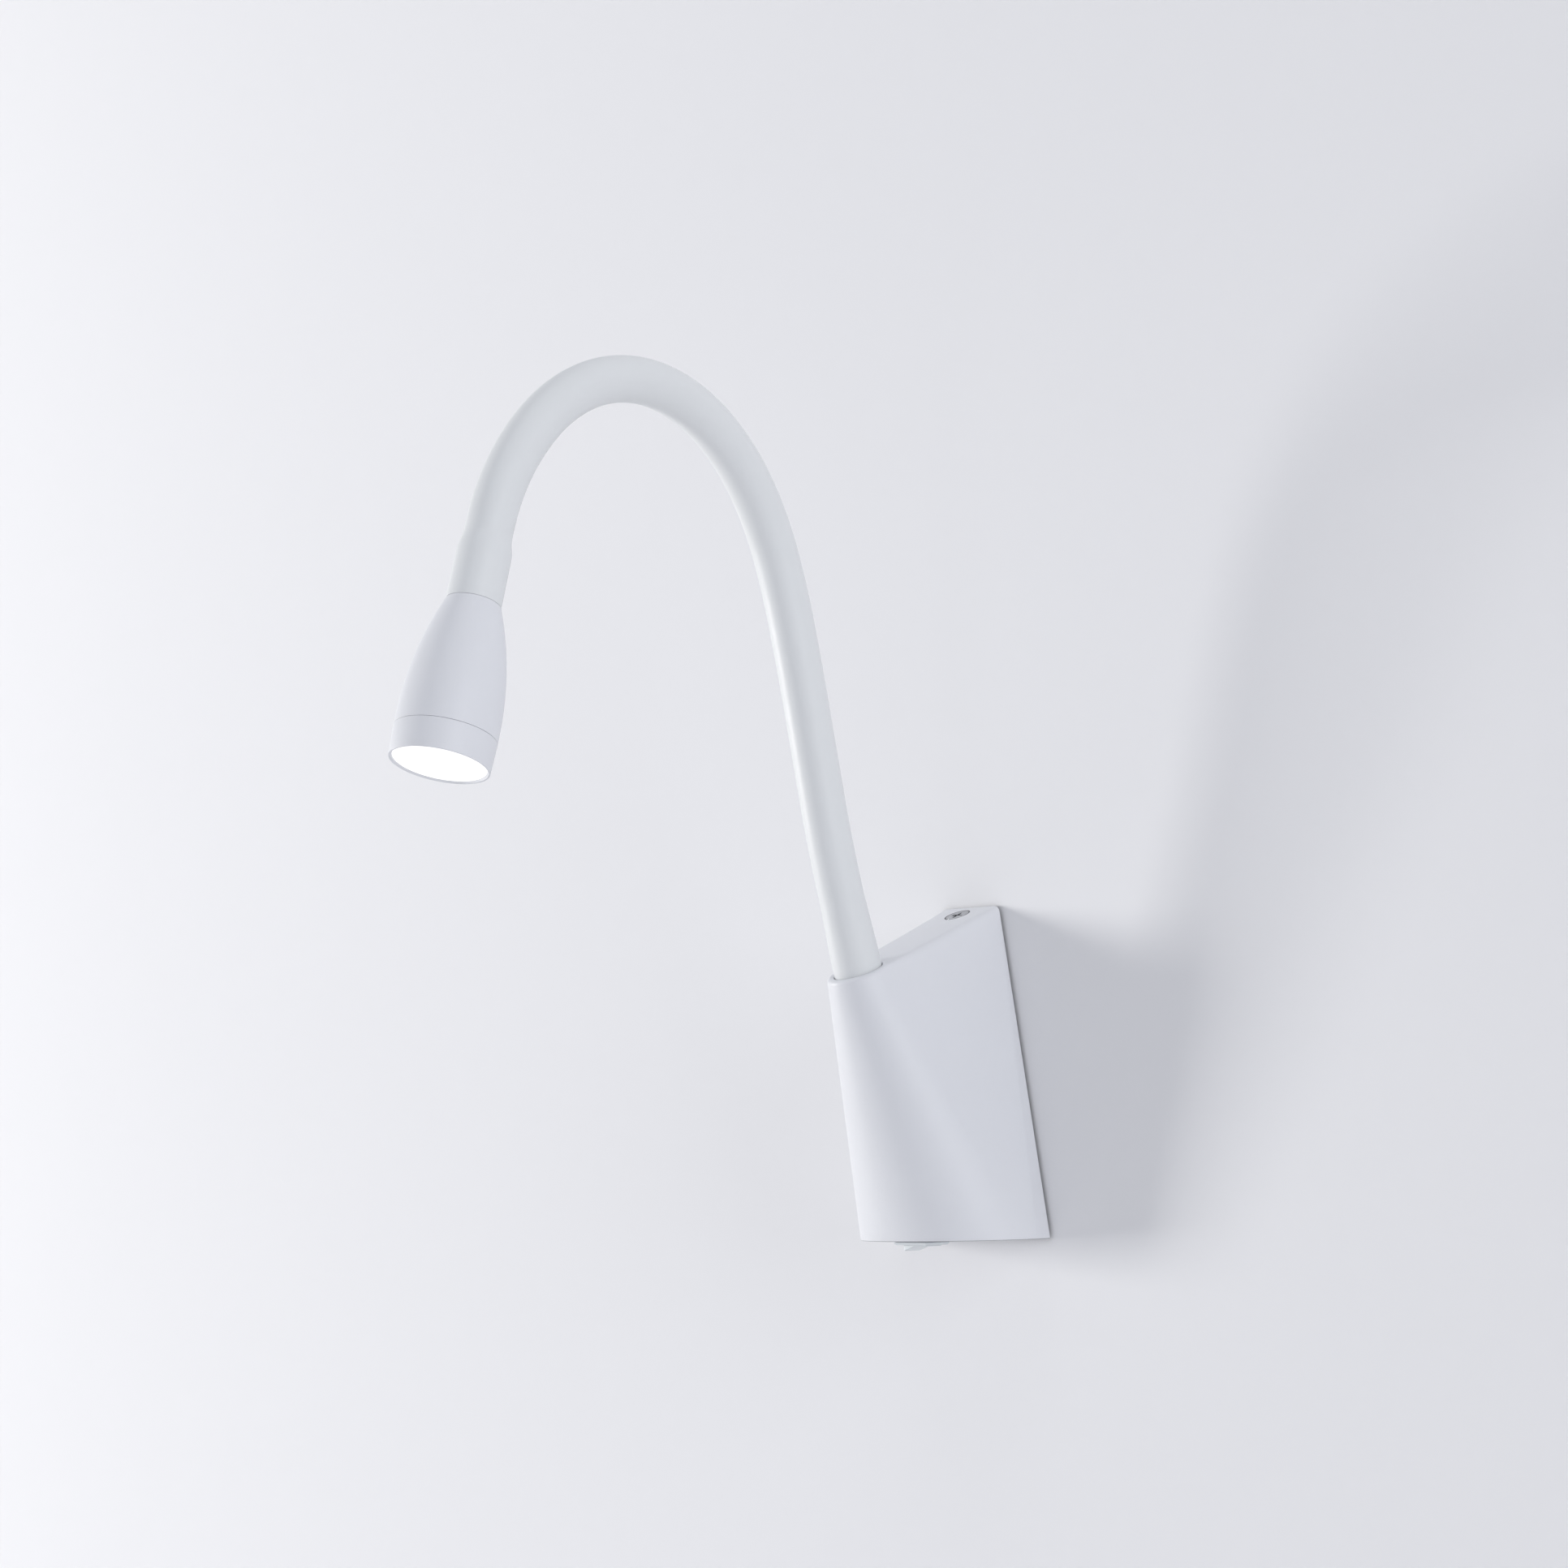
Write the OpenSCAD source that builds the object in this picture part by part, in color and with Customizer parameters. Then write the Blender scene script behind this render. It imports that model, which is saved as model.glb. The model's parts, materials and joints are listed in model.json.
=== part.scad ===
// Flexible wall sconce: a wall block with a rocker switch, a bendable sleeved neck and a small lamp head.
// Millimetres. The wall is the plane Y = 0, the lamp stands out towards -Y and +Z is up.
// The origin is the middle of the wall face.

/* [Block] */
// Height of the block at the wall
block_h = 105; // [100:1:115]
// Width of the block's foot at the wall
foot_w = 62; // [58:1:68]
// Radius of the foot's round front
foot_r = 32; // [30:0.5:36]
// Distance of the foot's arc centre from the wall
foot_arc_y = 8; // [6:0.5:12]
// Width of the block's top edge at the wall
top_w = 25; // [23:0.5:30]
// Slope of the top face in degrees
top_slope = 22; // [18:0.5:24]
// Distance of the nose axis from the wall on the top face
nose_y = 52; // [49:0.5:58]
// Wall of the nose round the neck
nose_wall = 1.8; // [1.5:0.1:2.6]
// Wall thickness of the housing
shell_wall = 2.2; // [1.8:0.1:2.8]
// Gap between the housing's back edge and the wall
wall_gap = 1; // [0.5:0.1:1.4]

/* [Neck] */
// Outer radius of the sleeved neck
neck_r = 7; // [6.5:0.1:8]
// Extra radius of the sleeve where it goes over a ferrule
end_swell = 1; // [0.8:0.1:1.4]
// Wall thickness of the silicone sleeve
sleeve_wall = 1.75; // [1.5:0.05:2]
// Wall thickness of the steel core
core_wall = 2; // [1.5:0.1:2.2]
// Forward lean of the neck where it leaves the nose, in degrees
neck_lean = 16; // [12:0.5:18]
// Turn of the neck's bending plane about the nose axis, in degrees
neck_twist = 5; // [-10:0.5:10]
// Length from the nose rim to the first bending point
base_run = 26; // [25:0.5:32]
// Length of each link in the lower neck
lower_pitch = 28; // [24:0.5:34]
// Length of each link in the upper neck
upper_pitch = 21; // [19:0.5:26]
// Length of the curved stretch after the last bending point
tip_run = 20; // [16:0.5:26]
// Length of the straight stretch at the head ferrule
tip_straight = 24; // [23:0.5:30]
// Gap between the round ends of two neck links
link_gap = 0.3; // [0.25:0.05:0.4]

/* [Head] */
// Largest outer radius of the head
head_r = 14.8; // [14.2:0.1:17]
// Length of the head's curved part
head_arc_l = 37; // [36:0.5:44]
// Length of the straight skirt between the curve and the seam
head_skirt = 3; // [2:0.5:6]
// Length of the front bezel
bezel_l = 9; // [8.5:0.5:12]
// Narrowing of the bezel's radius towards the mouth
bezel_taper = 0.3; // [0:0.1:0.6]
// Wall of the bezel at the mouth
mouth_wall = 0.9; // [0.7:0.1:1.2]
// Depth of the lens inside the mouth
lens_depth = 0.8; // [0.5:0.1:2]
// Thickness of the lens
lens_t = 2.6; // [2:0.1:3]
// Wall thickness of the head
head_wall = 1.6; // [1.4:0.1:1.8]

/* [Switch] */
// Distance of the switch from the wall
switch_y = 26.5; // [25:0.5:28]
// Length of the switch flange along the wall
flange_l = 14; // [13.5:0.1:15]
// Width of the switch flange away from the wall
flange_w = 10.5; // [10:0.1:11.5]
// Thickness of the switch flange
flange_t = 1.3; // [1:0.1:1.6]
// Tilt of the rocker from its middle to each end position, in degrees
rocker_tilt = 9; // [7:0.5:10]

/* [Bracket] */
// Thickness of the bracket plate
plate_t = 1.5; // [1.2:0.1:2]
// Distance between the two wall screw slots
slot_spacing = 75; // [74:0.5:76]
// Width of a wall screw slot
slot_w = 4.5; // [4:0.1:5]
// Length of a wall screw slot
slot_l = 8; // [7:0.5:9]
// Radius of the mains cable hole
cable_r = 5; // [4:0.1:5.5]
// Distance of the cover screw from the wall
screw_y = 7; // [6.5:0.1:8]

/* [Hidden] */
$fn = 64;
eps = 0.02;
core_fit = 0.05;
slide_fit = 0.2;
seat_gap = 0.3;
far = 60;

zt = block_h / 2;
zb = -block_h / 2;
end_r = neck_r + end_swell;
nose_r = end_r + slide_fit + nose_wall;
nose_z = zt - nose_y * tan(top_slope);
core_r = neck_r - sleeve_wall - core_fit;
core_bore_r = core_r - core_wall;
cup_r = end_r - sleeve_wall - core_fit;

// Neck links, counted from the block to the head, with the bend of each in degrees
link_turns = [-4.5, 0, 2, 6.5, 13.5, 18, 20.5, 22, 20.5, 17.5, 14.5, 15.5];
link_count = len(link_turns);
lower_links = 3;
step_r = 0.1;
root_l = 0.5;
ball_r = neck_r - step_r;
socket_r = ball_r + link_gap;

// Neck seat in the nose, as distances along the nose axis
seat_depth = 10;
shelf_t = 3;
shoulder_t = 2;
stub_r = 5;
stub_l = 20;
base_cup = 14;
swell_run = 6;
swell_lead = 1;
washer_t = 1;
washer_r = 8;
nut_t = 5;
nut_r = 8.08;
cavity_nose_wall = 1.6;

// Head, as distances along its axis from the sleeve's end to the mouth
seam_gap = 0.15;
seam_t = head_arc_l + head_skirt;
mouth_t = seam_t + bezel_l;
head_rise = head_r - end_r;
head_curve_r = (head_arc_l * head_arc_l + head_rise * head_rise) / (2 * head_rise);
head_top_t = 5;
head_stub_r = 4.5;
head_stub_l = 8;
head_cup = 19;
cup_floor = 2;
spigot_l = 4;
spigot_wall = 0.55;
mouth_r = head_r - bezel_taper - mouth_wall;
lens_front = mouth_t - lens_depth;
lens_back = lens_front - lens_t;
seal_t = 0.8;
rim_t = 0.8;
shoulder_at = lens_back - seal_t - rim_t;
carrier_l = 11;
carrier_setback = 6;
carrier_front = head_arc_l - carrier_setback;
carrier_bore_r = 3.5;
board_r = 11;
board_t = 1.6;
emitter_r = 4.5;
emitter_t = 0.8;
reflector_wall = 0.8;
reflector_small_r = 5.2;
board_screw_at = 8.6;
board_screw_r = 1;
board_screw_head_r = 1.65;
lead_hole_at = 6.2;
lead_hole_r = 0.75;
seal_w = 1.1;

// Switch
body_wall = 0.7;
rocker_side_gap = 0.2;
flange_lip_w = 0.85;
flange_lip_l = 0.65;
flange_bevel = 0.5;
flange_band = 0.3;
flange_under = 0.45;
body_w = flange_w - 2 * flange_lip_w;
body_l = flange_l - 2 * flange_lip_l;
body_h = 12;
switch_bay = 8;
pivot_up = 3;
pin_r = 1.2;
pin_fit = 0.05;
rocker_half = 5;
rocker_drop = 4.2;
rocker_valley = 3.4;
rocker_top = 2.2;
rocker_w = body_w - 2 * (body_wall + rocker_side_gap);
pivot_z = zb - flange_t + pivot_up;
tab_w = 4;
tab_t = 0.8;
tab_l = 7.5;
tab_apart = 7;

// Bracket, driver and terminals
plate_inset = 3;
plate_top_drop = 7.5;
plate_top_z = zt - plate_top_drop;
plate_low_z = zb + shell_wall + seat_gap;
tongue_w = 30;
tongue_l = 7;
hook_w = 4.6;
hook_h = 5;
hook_lip = 3;
tab_depth = 7.5;
bracket_tab_w = 14;
bracket_tab_l = 12;
bracket_tab_t = 2;
cover_screw_r = 2;
cover_head_r = 3.9;
cover_head_h = 2.1;
cover_screw_l = 11;
cable_x = -16;
cable_z = -30;
small_screw_r = 1.5;
small_head_r = 2.6;
small_head_h = 1.8;
case_w = 20;
case_d = 17.5;
case_h = 34;
case_z = 9;
case_wall = 1.3;
ear_h = 2 * (small_head_r + slide_fit);
ear_w = 10;
ear_t = 2.5;
ledge_w = 1.2;
driver_board_y = 8;
lid_t = 1.3;
pole_pitch = 8;
pole_x = [0, pole_pitch, 2 * pole_pitch];
term_margin = 5;
term_w = 2 * pole_pitch + 2 * term_margin;
term_h = 14;
term_d = 12;
term_z = -26;
cage_r = 2.2;
cage_bore_r = 1.4;
cage_y = 6;
clamp_r = 1.5;
clamp_apart = 6;
earth_x = 15;
earth_z = -9;
earth_head_r = 3;
earth_head_h = 2;
earth_r = 2;
lead_r = 1;
lead_sides = 8;
lead_step = 5;
lead_pair = 1.2;

// Places that the leads in the block run between
lead_gap = 0.3;
lead_in = 0.2;
case_top = case_z + case_h / 2;
case_low = case_z - case_h / 2;
term_top = term_z + term_h / 2;
pole_y = plate_t + cage_y;
tab_top = zb + body_h + tab_l;
tab_x = tab_apart / 2;
stub_y = -nose_y + stub_l * sin(neck_lean);
stub_z = nose_z - stub_l * cos(neck_lean);
earth_y = -plate_t - lead_r - lead_gap;
earth_low = earth_z - earth_head_r;

// Routes of the leads in the block
live_route = [[0, -pole_y, term_top - lead_in], [0, -pole_y - 1, term_top + 3], [-1, -14.5, term_top + 3.5],
  [-2.5, -20, term_top], [-tab_x, -switch_y, tab_top + 6.5], [-tab_x, -switch_y, tab_top + lead_gap]];
switched_route = [[tab_x, -switch_y, tab_top + lead_gap], [tab_x, -switch_y, tab_top + 6.5],
  [tab_x, -24, case_low - 9], [4, -18, case_low - 6], [4, -12.5, case_low - 3.5],
  [4, -12.5, case_low - lead_gap]];
neutral_route = [[pole_pitch, -pole_y, term_top - lead_in], [pole_pitch, -pole_y - 1, term_top + 3],
  [7.5, -11, case_low - 3.5], [7.5, -11, case_low - lead_gap]];
earth_route = [[2 * pole_pitch, -pole_y, term_top - lead_in], [2 * pole_pitch, -pole_y, term_top + 2],
  [earth_x, earth_y, earth_low - 2.5], [earth_x, earth_y, earth_low - lead_gap]];
led_route = [[0, -10, case_top + lead_gap], [0, -10, case_top + 3], [0, -17, case_top + 4.5],
  [0, -27, 25], [0, -35, 15], [0, stub_y + 5.5, stub_z - 5.5], [0, stub_y + 2, stub_z - 6],
  [0, stub_y + 0.5, stub_z - 1.5]];

core_names = [for (i = [1:link_count]) str("neck_core_", i)];
sleeve_names = [for (i = [1:link_count]) str("neck_sleeve_", i)];

// Frames

// Frame on the nose axis, t along the neck from the top face, with X as the bending axis
module at_nose(t) {
  translate([0, -nose_y, nose_z])
    rotate([neck_lean, 0, 0])
      rotate([0, 0, neck_twist])
        translate([0, 0, t])
          children();
}

function link_l(i) = i <= lower_links ? lower_pitch : i < link_count ? upper_pitch : tip_run;
function link_turn(i) = link_turns[i - 1];
function curve_r(l, turn) = l * 180 / (PI * turn);

// Moves from the start of a bent stretch to its end
module bent_end(l, turn) {
  if (turn == 0)
    translate([0, 0, l])
      children();
  else
    translate([0, -curve_r(l, turn) * (1 - cos(turn)), curve_r(l, turn) * sin(turn)])
      rotate([turn, 0, 0])
        children();
}

module link_end(i) {
  bent_end(link_l(i), link_turn(i))
    children();
}

// Frame at bending point i
module at_joint(i) {
  if (i <= 1)
    at_nose(base_run)
      children();
  else
    at_joint(i - 1)
      link_end(i - 1)
        children();
}

// Frame on the head's axis, t from the sleeve's end towards the mouth
module at_head(t) {
  at_joint(link_count)
    link_end(link_count)
      translate([0, 0, tip_straight + t])
        children();
}

// Frame on the sloped top face, Z outwards, t along the cover screw
module at_top(t) {
  translate([0, -screw_y, zt - screw_y * tan(top_slope)])
    rotate([top_slope, 0, 0])
      translate([0, 0, t])
        children();
}

// Frame at a place on the bracket's front face, Z away from the wall
module at_plate(x, z, t = 0) {
  translate([x, -plate_t - t, z])
    rotate([90, 0, 0])
      children();
}

// Frame of the switch, with its length along local Y and its low end towards -X
module at_switch() {
  translate([0, -switch_y, 0])
    rotate([0, 0, -90])
      children();
}

// Frame at the rocker's pivot
module at_pivot() {
  at_switch()
    translate([0, 0, pivot_z])
      children();
}

// Shared shapes

// Tube bent towards -Y by turn degrees along its length
module bent_tube(r, bore, l, turn) {
  if (turn == 0)
    rotate_extrude()
      translate([bore, 0])
        square([r - bore, l]);
  else if (turn < 0)
    rotate([0, 0, 180])
      bent_tube(r, bore, l, -turn);
  else
    translate([0, -curve_r(l, turn), 0])
      rotate(120, [1, 1, 1])
        rotate_extrude(angle = turn, $fn = 180)
          translate([curve_r(l, turn), 0])
            difference() {
              circle(r = r, $fn = 64);
              circle(r = bore, $fn = 64);
            }
}

// Upper half of a ball
module half_ball(r) {
  intersection() {
    sphere(r = r);
    translate([-far, -far, 0])
      cube([2 * far, 2 * far, far]);
  }
}

module box(size, at) {
  translate([at[0] - size[0] / 2, at[1] - size[1] / 2, at[2]])
    cube(size);
}

// Screw with a pan head standing on Z = 0 and its shank below, with a cross recess
module pan_screw(head_r, head_h, shank_r, shank_l) {
  recess = head_h * 0.6;
  blade = head_r * 0.28;
  difference() {
    union() {
      cylinder(r = head_r, h = head_h);
      translate([0, 0, -shank_l])
        cylinder(r = shank_r, h = shank_l);
    }
    for (a = [0, 90])
      rotate([0, 0, a])
        box([head_r * 1.3, blade, head_h], [0, 0, head_h - recess]);
  }
}

// Points of a smooth curve through the given ones
function spline_at(p, i, u) =
  let (a = p[max(i - 1, 0)], b = p[i], c = p[i + 1], d = p[min(i + 2, len(p) - 1)])
  0.5 * (2 * b + (c - a) * u + (2 * a - 5 * b + 4 * c - d) * u * u + (3 * b - a - 3 * c + d) * u * u * u);
function spline(p, gap) = concat(
  [for (i = [0:len(p) - 2])
    let (n = max(1, round(norm(p[i + 1] - p[i]) / gap)))
    for (k = [0:n - 1]) spline_at(p, i, k / n)],
  [p[len(p) - 1]]);
function unit(v) = v / norm(v);
function tangent(p, i) = unit(p[min(i + 1, len(p) - 1)] - p[max(i - 1, 0)]);

// Lead of radius r along a route that stays off the X direction
module lead(route, r) {
  p = spline(route, lead_step);
  n = len(p);
  rings = [for (i = [0:n - 1])
    let (t = tangent(p, i), u = unit(cross(t, [1, 0, 0])), v = cross(t, u))
    for (k = [0:lead_sides - 1])
      p[i] + r * (u * cos(360 * k / lead_sides) + v * sin(360 * k / lead_sides))];
  sides = [for (i = [0:n - 2])
    for (k = [0:lead_sides - 1])
      let (a = i * lead_sides + k, b = i * lead_sides + (k + 1) % lead_sides)
      for (f = [[a, b, b + lead_sides], [a, b + lead_sides, a + lead_sides]]) f];
  low = [for (k = [1:lead_sides - 2]) [0, k + 1, k]];
  top = (n - 1) * lead_sides;
  high = [for (k = [1:lead_sides - 2]) [top, top + k, top + k + 1]];
  polyhedron(points = rings, faces = [for (f = concat(sides, low, high)) [f[2], f[1], f[0]]]);
}

// Wall block

// Convex loft between the round-fronted foot, the top edge at the wall and the nose
module block_outer() {
  hull() {
    intersection() {
      translate([0, -foot_arc_y, zb])
        cylinder(r = foot_r, h = eps, $fn = 96);
      translate([-far, -foot_arc_y - far, zb])
        cube([2 * far, far, eps]);
    }
    translate([-foot_w / 2, -wall_gap - eps, zb])
      cube([foot_w, eps, eps]);
    translate([-top_w / 2, -wall_gap - eps, zt - wall_gap * tan(top_slope) - eps])
      cube([top_w, eps, eps]);
    translate([0, -nose_y, nose_z])
      rotate([top_slope, 0, 0])
        translate([0, 0, -eps])
          cylinder(r = nose_r, h = eps, $fn = 96);
  }
}

// Hollow of the housing, open towards the wall
module block_hollow() {
  floor_z = zb + shell_wall;
  hull() {
    intersection() {
      translate([0, -foot_arc_y, floor_z])
        cylinder(r = foot_r - shell_wall, h = eps, $fn = 96);
      translate([-far, -foot_arc_y - far, floor_z])
        cube([2 * far, far, eps]);
    }
    translate([shell_wall - foot_w / 2, 0, floor_z])
      cube([foot_w - 2 * shell_wall, eps, eps]);
    translate([shell_wall - top_w / 2, 0, zt - shell_wall / cos(top_slope)])
      cube([top_w - 2 * shell_wall, eps, eps]);
    at_nose(-seat_depth - shelf_t - eps)
      cylinder(r = nose_r - cavity_nose_wall, h = eps, $fn = 96);
  }
}

// Hook inside the foot that holds the bracket's tongue down
module shell_hook(side) {
  low = zb + shell_wall - eps;
  post_x = side * (tongue_w / 2 + seat_gap + hook_w / 2);
  lip_z = plate_low_z + plate_t + seat_gap;
  box([hook_w, hook_h, lip_z + hook_lip - low], [post_x, -hook_h - plate_t, low]);
  box([hook_w, hook_h, hook_lip], [post_x - side * hook_lip, -hook_h - plate_t, lip_z]);
}

module block_shell() {
  color("white")
    difference() {
      union() {
        difference() {
          block_outer();
          block_hollow();
        }
        for (side = [-1, 1])
          shell_hook(side);
      }
      at_nose(-seat_depth)
        cylinder(r = end_r + slide_fit, h = 2 * seat_depth);
      at_nose(-seat_depth - 2 * shelf_t)
        cylinder(r = stub_r + slide_fit, h = 3 * shelf_t);
      at_top(-tab_depth)
        cylinder(r = cover_screw_r + slide_fit, h = 2 * tab_depth);
      at_top(-cover_head_h - core_fit)
        cylinder(h = cover_head_h + 2 * core_fit, r1 = cover_screw_r + slide_fit,
          r2 = cover_head_r + slide_fit);
      at_switch()
        box([body_w + slide_fit, body_l + slide_fit, 4 * shell_wall], [0, 0, zb - shell_wall]);
    }
}

module cover_screw() {
  recess_w = 0.9;
  recess_l = 4.4;
  recess_h = 1.5;
  color("silver")
    at_top(0)
      difference() {
        union() {
          translate([0, 0, -cover_head_h])
            cylinder(r1 = cover_screw_r, r2 = cover_head_r, h = cover_head_h);
          translate([0, 0, -cover_screw_l])
            cylinder(r = cover_screw_r, h = cover_screw_l - cover_head_h);
        }
        for (a = [0, 90])
          rotate([0, 0, a])
            box([recess_l, recess_w, 2 * recess_h], [0, 0, -recess_h]);
      }
}

// Half width of the bracket plate at height z
function plate_half(z) =
  let (low = foot_w / 2 - plate_inset, high = top_w / 2 - plate_inset)
  low + (high - low) * (z - zb) / block_h;

module wall_bracket() {
  color("gainsboro")
    difference() {
      union() {
        rotate([90, 0, 0])
          linear_extrude(plate_t)
            polygon([
              [-plate_half(plate_low_z), plate_low_z],
              [plate_half(plate_low_z), plate_low_z],
              [plate_half(plate_top_z), plate_top_z],
              [-plate_half(plate_top_z), plate_top_z]]);
        translate([-tongue_w / 2, -plate_t - tongue_l, plate_low_z])
          cube([tongue_w, tongue_l + plate_t, plate_t]);
        intersection() {
          at_top(-tab_depth - bracket_tab_t / 2)
            translate([-bracket_tab_w / 2, screw_y - bracket_tab_l, 0])
              cube([bracket_tab_w, 2 * bracket_tab_l, bracket_tab_t]);
          translate([-far, -2 * far, -far])
            cube([2 * far, 2 * far, 3 * far]);
        }
      }
      at_top(-2 * tab_depth)
        cylinder(r = cover_screw_r + core_fit, h = 2 * tab_depth);
      for (side = [-1, 1])
        translate([0, 0, side * slot_spacing / 2])
          wall_slot();
      translate([cable_x, plate_t, cable_z])
        rotate([90, 0, 0])
          cylinder(r = cable_r, h = 3 * plate_t);
      for (z = [case_z - case_h / 2 - ear_h / 2, case_z + case_h / 2 + ear_h / 2])
        plate_hole(0, z, small_screw_r);
      plate_hole(pole_pitch / 2, term_z, small_screw_r);
      plate_hole(earth_x, earth_z, earth_r);
    }
}

module plate_hole(x, z, r) {
  translate([x, plate_t, z])
    rotate([90, 0, 0])
      cylinder(r = r + core_fit, h = 3 * plate_t);
}

// Upright slot through the plate
module wall_slot() {
  run = slot_l - slot_w;
  translate([0, plate_t, 0])
    rotate([90, 0, 0]) {
      for (s = [-1, 1])
        translate([0, s * run / 2, 0])
          cylinder(d = slot_w, h = 3 * plate_t);
      box([slot_w, run, 3 * plate_t], [0, 0, 0]);
    }
}

// Electrics on the bracket

module driver_case() {
  hole_r = small_screw_r + slide_fit;
  color("whitesmoke")
    at_plate(0, case_z)
      difference() {
        union() {
          difference() {
            box([case_w, case_h, case_d], [0, 0, 0]);
            box([case_w - 2 * case_wall, case_h - 2 * case_wall, case_d], [0, 0, case_wall]);
          }
          for (s = [-1, 1])
            box([ledge_w, case_h - 2 * case_wall, driver_board_y - case_wall],
              [s * (case_w / 2 - case_wall - ledge_w / 2), 0, case_wall]);
          for (s = [-1, 1])
            box([ear_w, ear_h, ear_t], [0, s * (case_h + ear_h) / 2, 0]);
        }
        for (s = [-1, 1])
          translate([0, s * (case_h + ear_h) / 2, -ear_t])
            cylinder(r = hole_r, h = 3 * ear_t);
      }
}

module driver_lid() {
  plug = 2;
  inset = 2 * (case_wall + slide_fit);
  color("whitesmoke")
    at_plate(0, case_z, case_d) {
      box([case_w, case_h, lid_t], [0, 0, 0]);
      box([case_w - inset, case_h - inset, plug + eps], [0, 0, -plug]);
    }
}

module driver_board() {
  color("seagreen")
    at_plate(0, case_z, driver_board_y)
      box([case_w - 2 * (case_wall + slide_fit), case_h - 2 * (case_wall + slide_fit), board_t], [0, 0, 0]);
}

module driver_parts() {
  core_size = [9, 10, 4.5];
  can_r = 2.2;
  can_l = 9;
  inlet = [6, 4, 3];
  margin = 1.5;
  half_l = case_h / 2 - case_wall - slide_fit;
  color("dimgray")
    at_plate(0, case_z, driver_board_y + board_t) {
      box(core_size, [0, margin, 0]);
      translate([-can_l / 2, -half_l / 2, can_r])
        rotate([0, 90, 0])
          cylinder(r = can_r, h = can_l);
      box(inlet, [0, half_l - margin - inlet[1] / 2, 0]);
    }
}

module bracket_screws() {
  color("silver") {
    for (s = [-1, 1])
      at_plate(0, case_z + s * (case_h + ear_h) / 2, ear_t)
        pan_screw(small_head_r, small_head_h, small_screw_r, ear_t + plate_t - slide_fit);
    at_plate(pole_pitch / 2, term_z, term_d - small_head_h)
      pan_screw(small_head_r, small_head_h, small_screw_r, term_d - small_head_h + plate_t - slide_fit);
  }
}

module earth_screw() {
  color("gold")
    at_plate(earth_x, earth_z)
      pan_screw(earth_head_r, earth_head_h, earth_r, plate_t - slide_fit);
}

module terminal_block() {
  color("ivory")
    at_plate(pole_pitch, term_z)
      difference() {
        box([term_w, term_h, term_d], [0, 0, 0]);
        for (x = pole_x)
          translate([x - pole_pitch, term_h, cage_y])
            rotate([90, 0, 0])
              cylinder(r = cage_r + core_fit, h = 2 * term_h);
        for (x = pole_x)
          for (s = [-1, 1])
            translate([x - pole_pitch, s * clamp_apart / 2, cage_y])
              cylinder(r = clamp_r + slide_fit, h = term_d);
        translate([-pole_pitch / 2, 0, -eps])
          cylinder(r = small_screw_r + slide_fit, h = 2 * term_d);
        translate([-pole_pitch / 2, 0, term_d - small_head_h])
          cylinder(r = small_head_r + slide_fit, h = term_d);
      }
}

module terminal_cages() {
  cage_l = term_h - 1;
  color("gold")
    at_plate(pole_pitch, term_z)
      for (x = pole_x)
        translate([x - pole_pitch, cage_l / 2, cage_y])
          rotate([90, 0, 0])
            difference() {
              cylinder(r = cage_r, h = cage_l);
              translate([0, 0, -eps])
                cylinder(r = cage_bore_r, h = cage_l + 1);
            }
}

module terminal_screws() {
  slot_depth = 0.8;
  slot_width = 0.5;
  top = term_d - 1;
  low = cage_y + cage_r + core_fit;
  color("silver")
    at_plate(pole_pitch, term_z)
      for (x = pole_x)
        for (s = [-1, 1])
          translate([x - pole_pitch, s * clamp_apart / 2, low])
            difference() {
              cylinder(r = clamp_r, h = top - low);
              box([3 * clamp_r, slot_width, slot_depth + 1], [0, 0, top - low - slot_depth]);
            }
}

// Leads in the block

module lead_live() {
  color("saddlebrown")
    lead(live_route, lead_r);
}

module lead_switched() {
  color("saddlebrown")
    lead(switched_route, lead_r);
}

module lead_neutral() {
  color("steelblue")
    lead(neutral_route, lead_r);
}

module lead_earth() {
  color("yellowgreen")
    lead(earth_route, lead_r);
}

module lead_led() {
  color("dimgray")
    for (s = [-1, 1])
      translate([s * lead_pair, 0, 0])
        lead(led_route, lead_r);
}

// Rocker switch

module switch_housing() {
  color("white")
    difference() {
      at_switch() {
        hull() {
          box([flange_w - 2 * flange_bevel, flange_l - 2 * flange_bevel, flange_t], [0, 0, zb - flange_t]);
          box([flange_w, flange_l, flange_band], [0, 0, zb - flange_under - flange_band]);
        }
        box([body_w, body_l, body_h + flange_t], [0, 0, zb - flange_t]);
      }
      at_switch()
        box([body_w - 2 * body_wall, body_l - 2 * body_wall, switch_bay + flange_t],
          [0, 0, zb - 2 * flange_t]);
      at_pivot()
        translate([-far, 0, 0])
          rotate([0, 90, 0])
            cylinder(r = pin_r + pin_fit, h = 2 * far);
    }
}

// Rocker tipped with its left end down, the lamp's switched-on position
module switch_rocker() {
  pin_l = body_w - body_wall / 2;
  color("whitesmoke")
    at_pivot()
      rotate([rocker_tilt, 0, 0]) {
        rotate([90, 0, 90])
          translate([0, 0, -rocker_w / 2])
            linear_extrude(rocker_w)
              polygon([
                [-rocker_half, -rocker_drop],
                [0, -rocker_valley],
                [rocker_half, -rocker_drop],
                [rocker_half, -rocker_top / 2],
                [rocker_half / 2, rocker_top],
                [-rocker_half / 2, rocker_top],
                [-rocker_half, -rocker_top / 2]]);
        translate([-pin_l / 2, 0, 0])
          rotate([0, 90, 0])
            cylinder(r = pin_r, h = pin_l);
      }
}

module switch_terminals() {
  color("gold")
    at_switch()
      for (s = [-1, 1])
        box([tab_w, tab_t, tab_l], [0, s * tab_x, zb + body_h]);
}

// Neck

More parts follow.
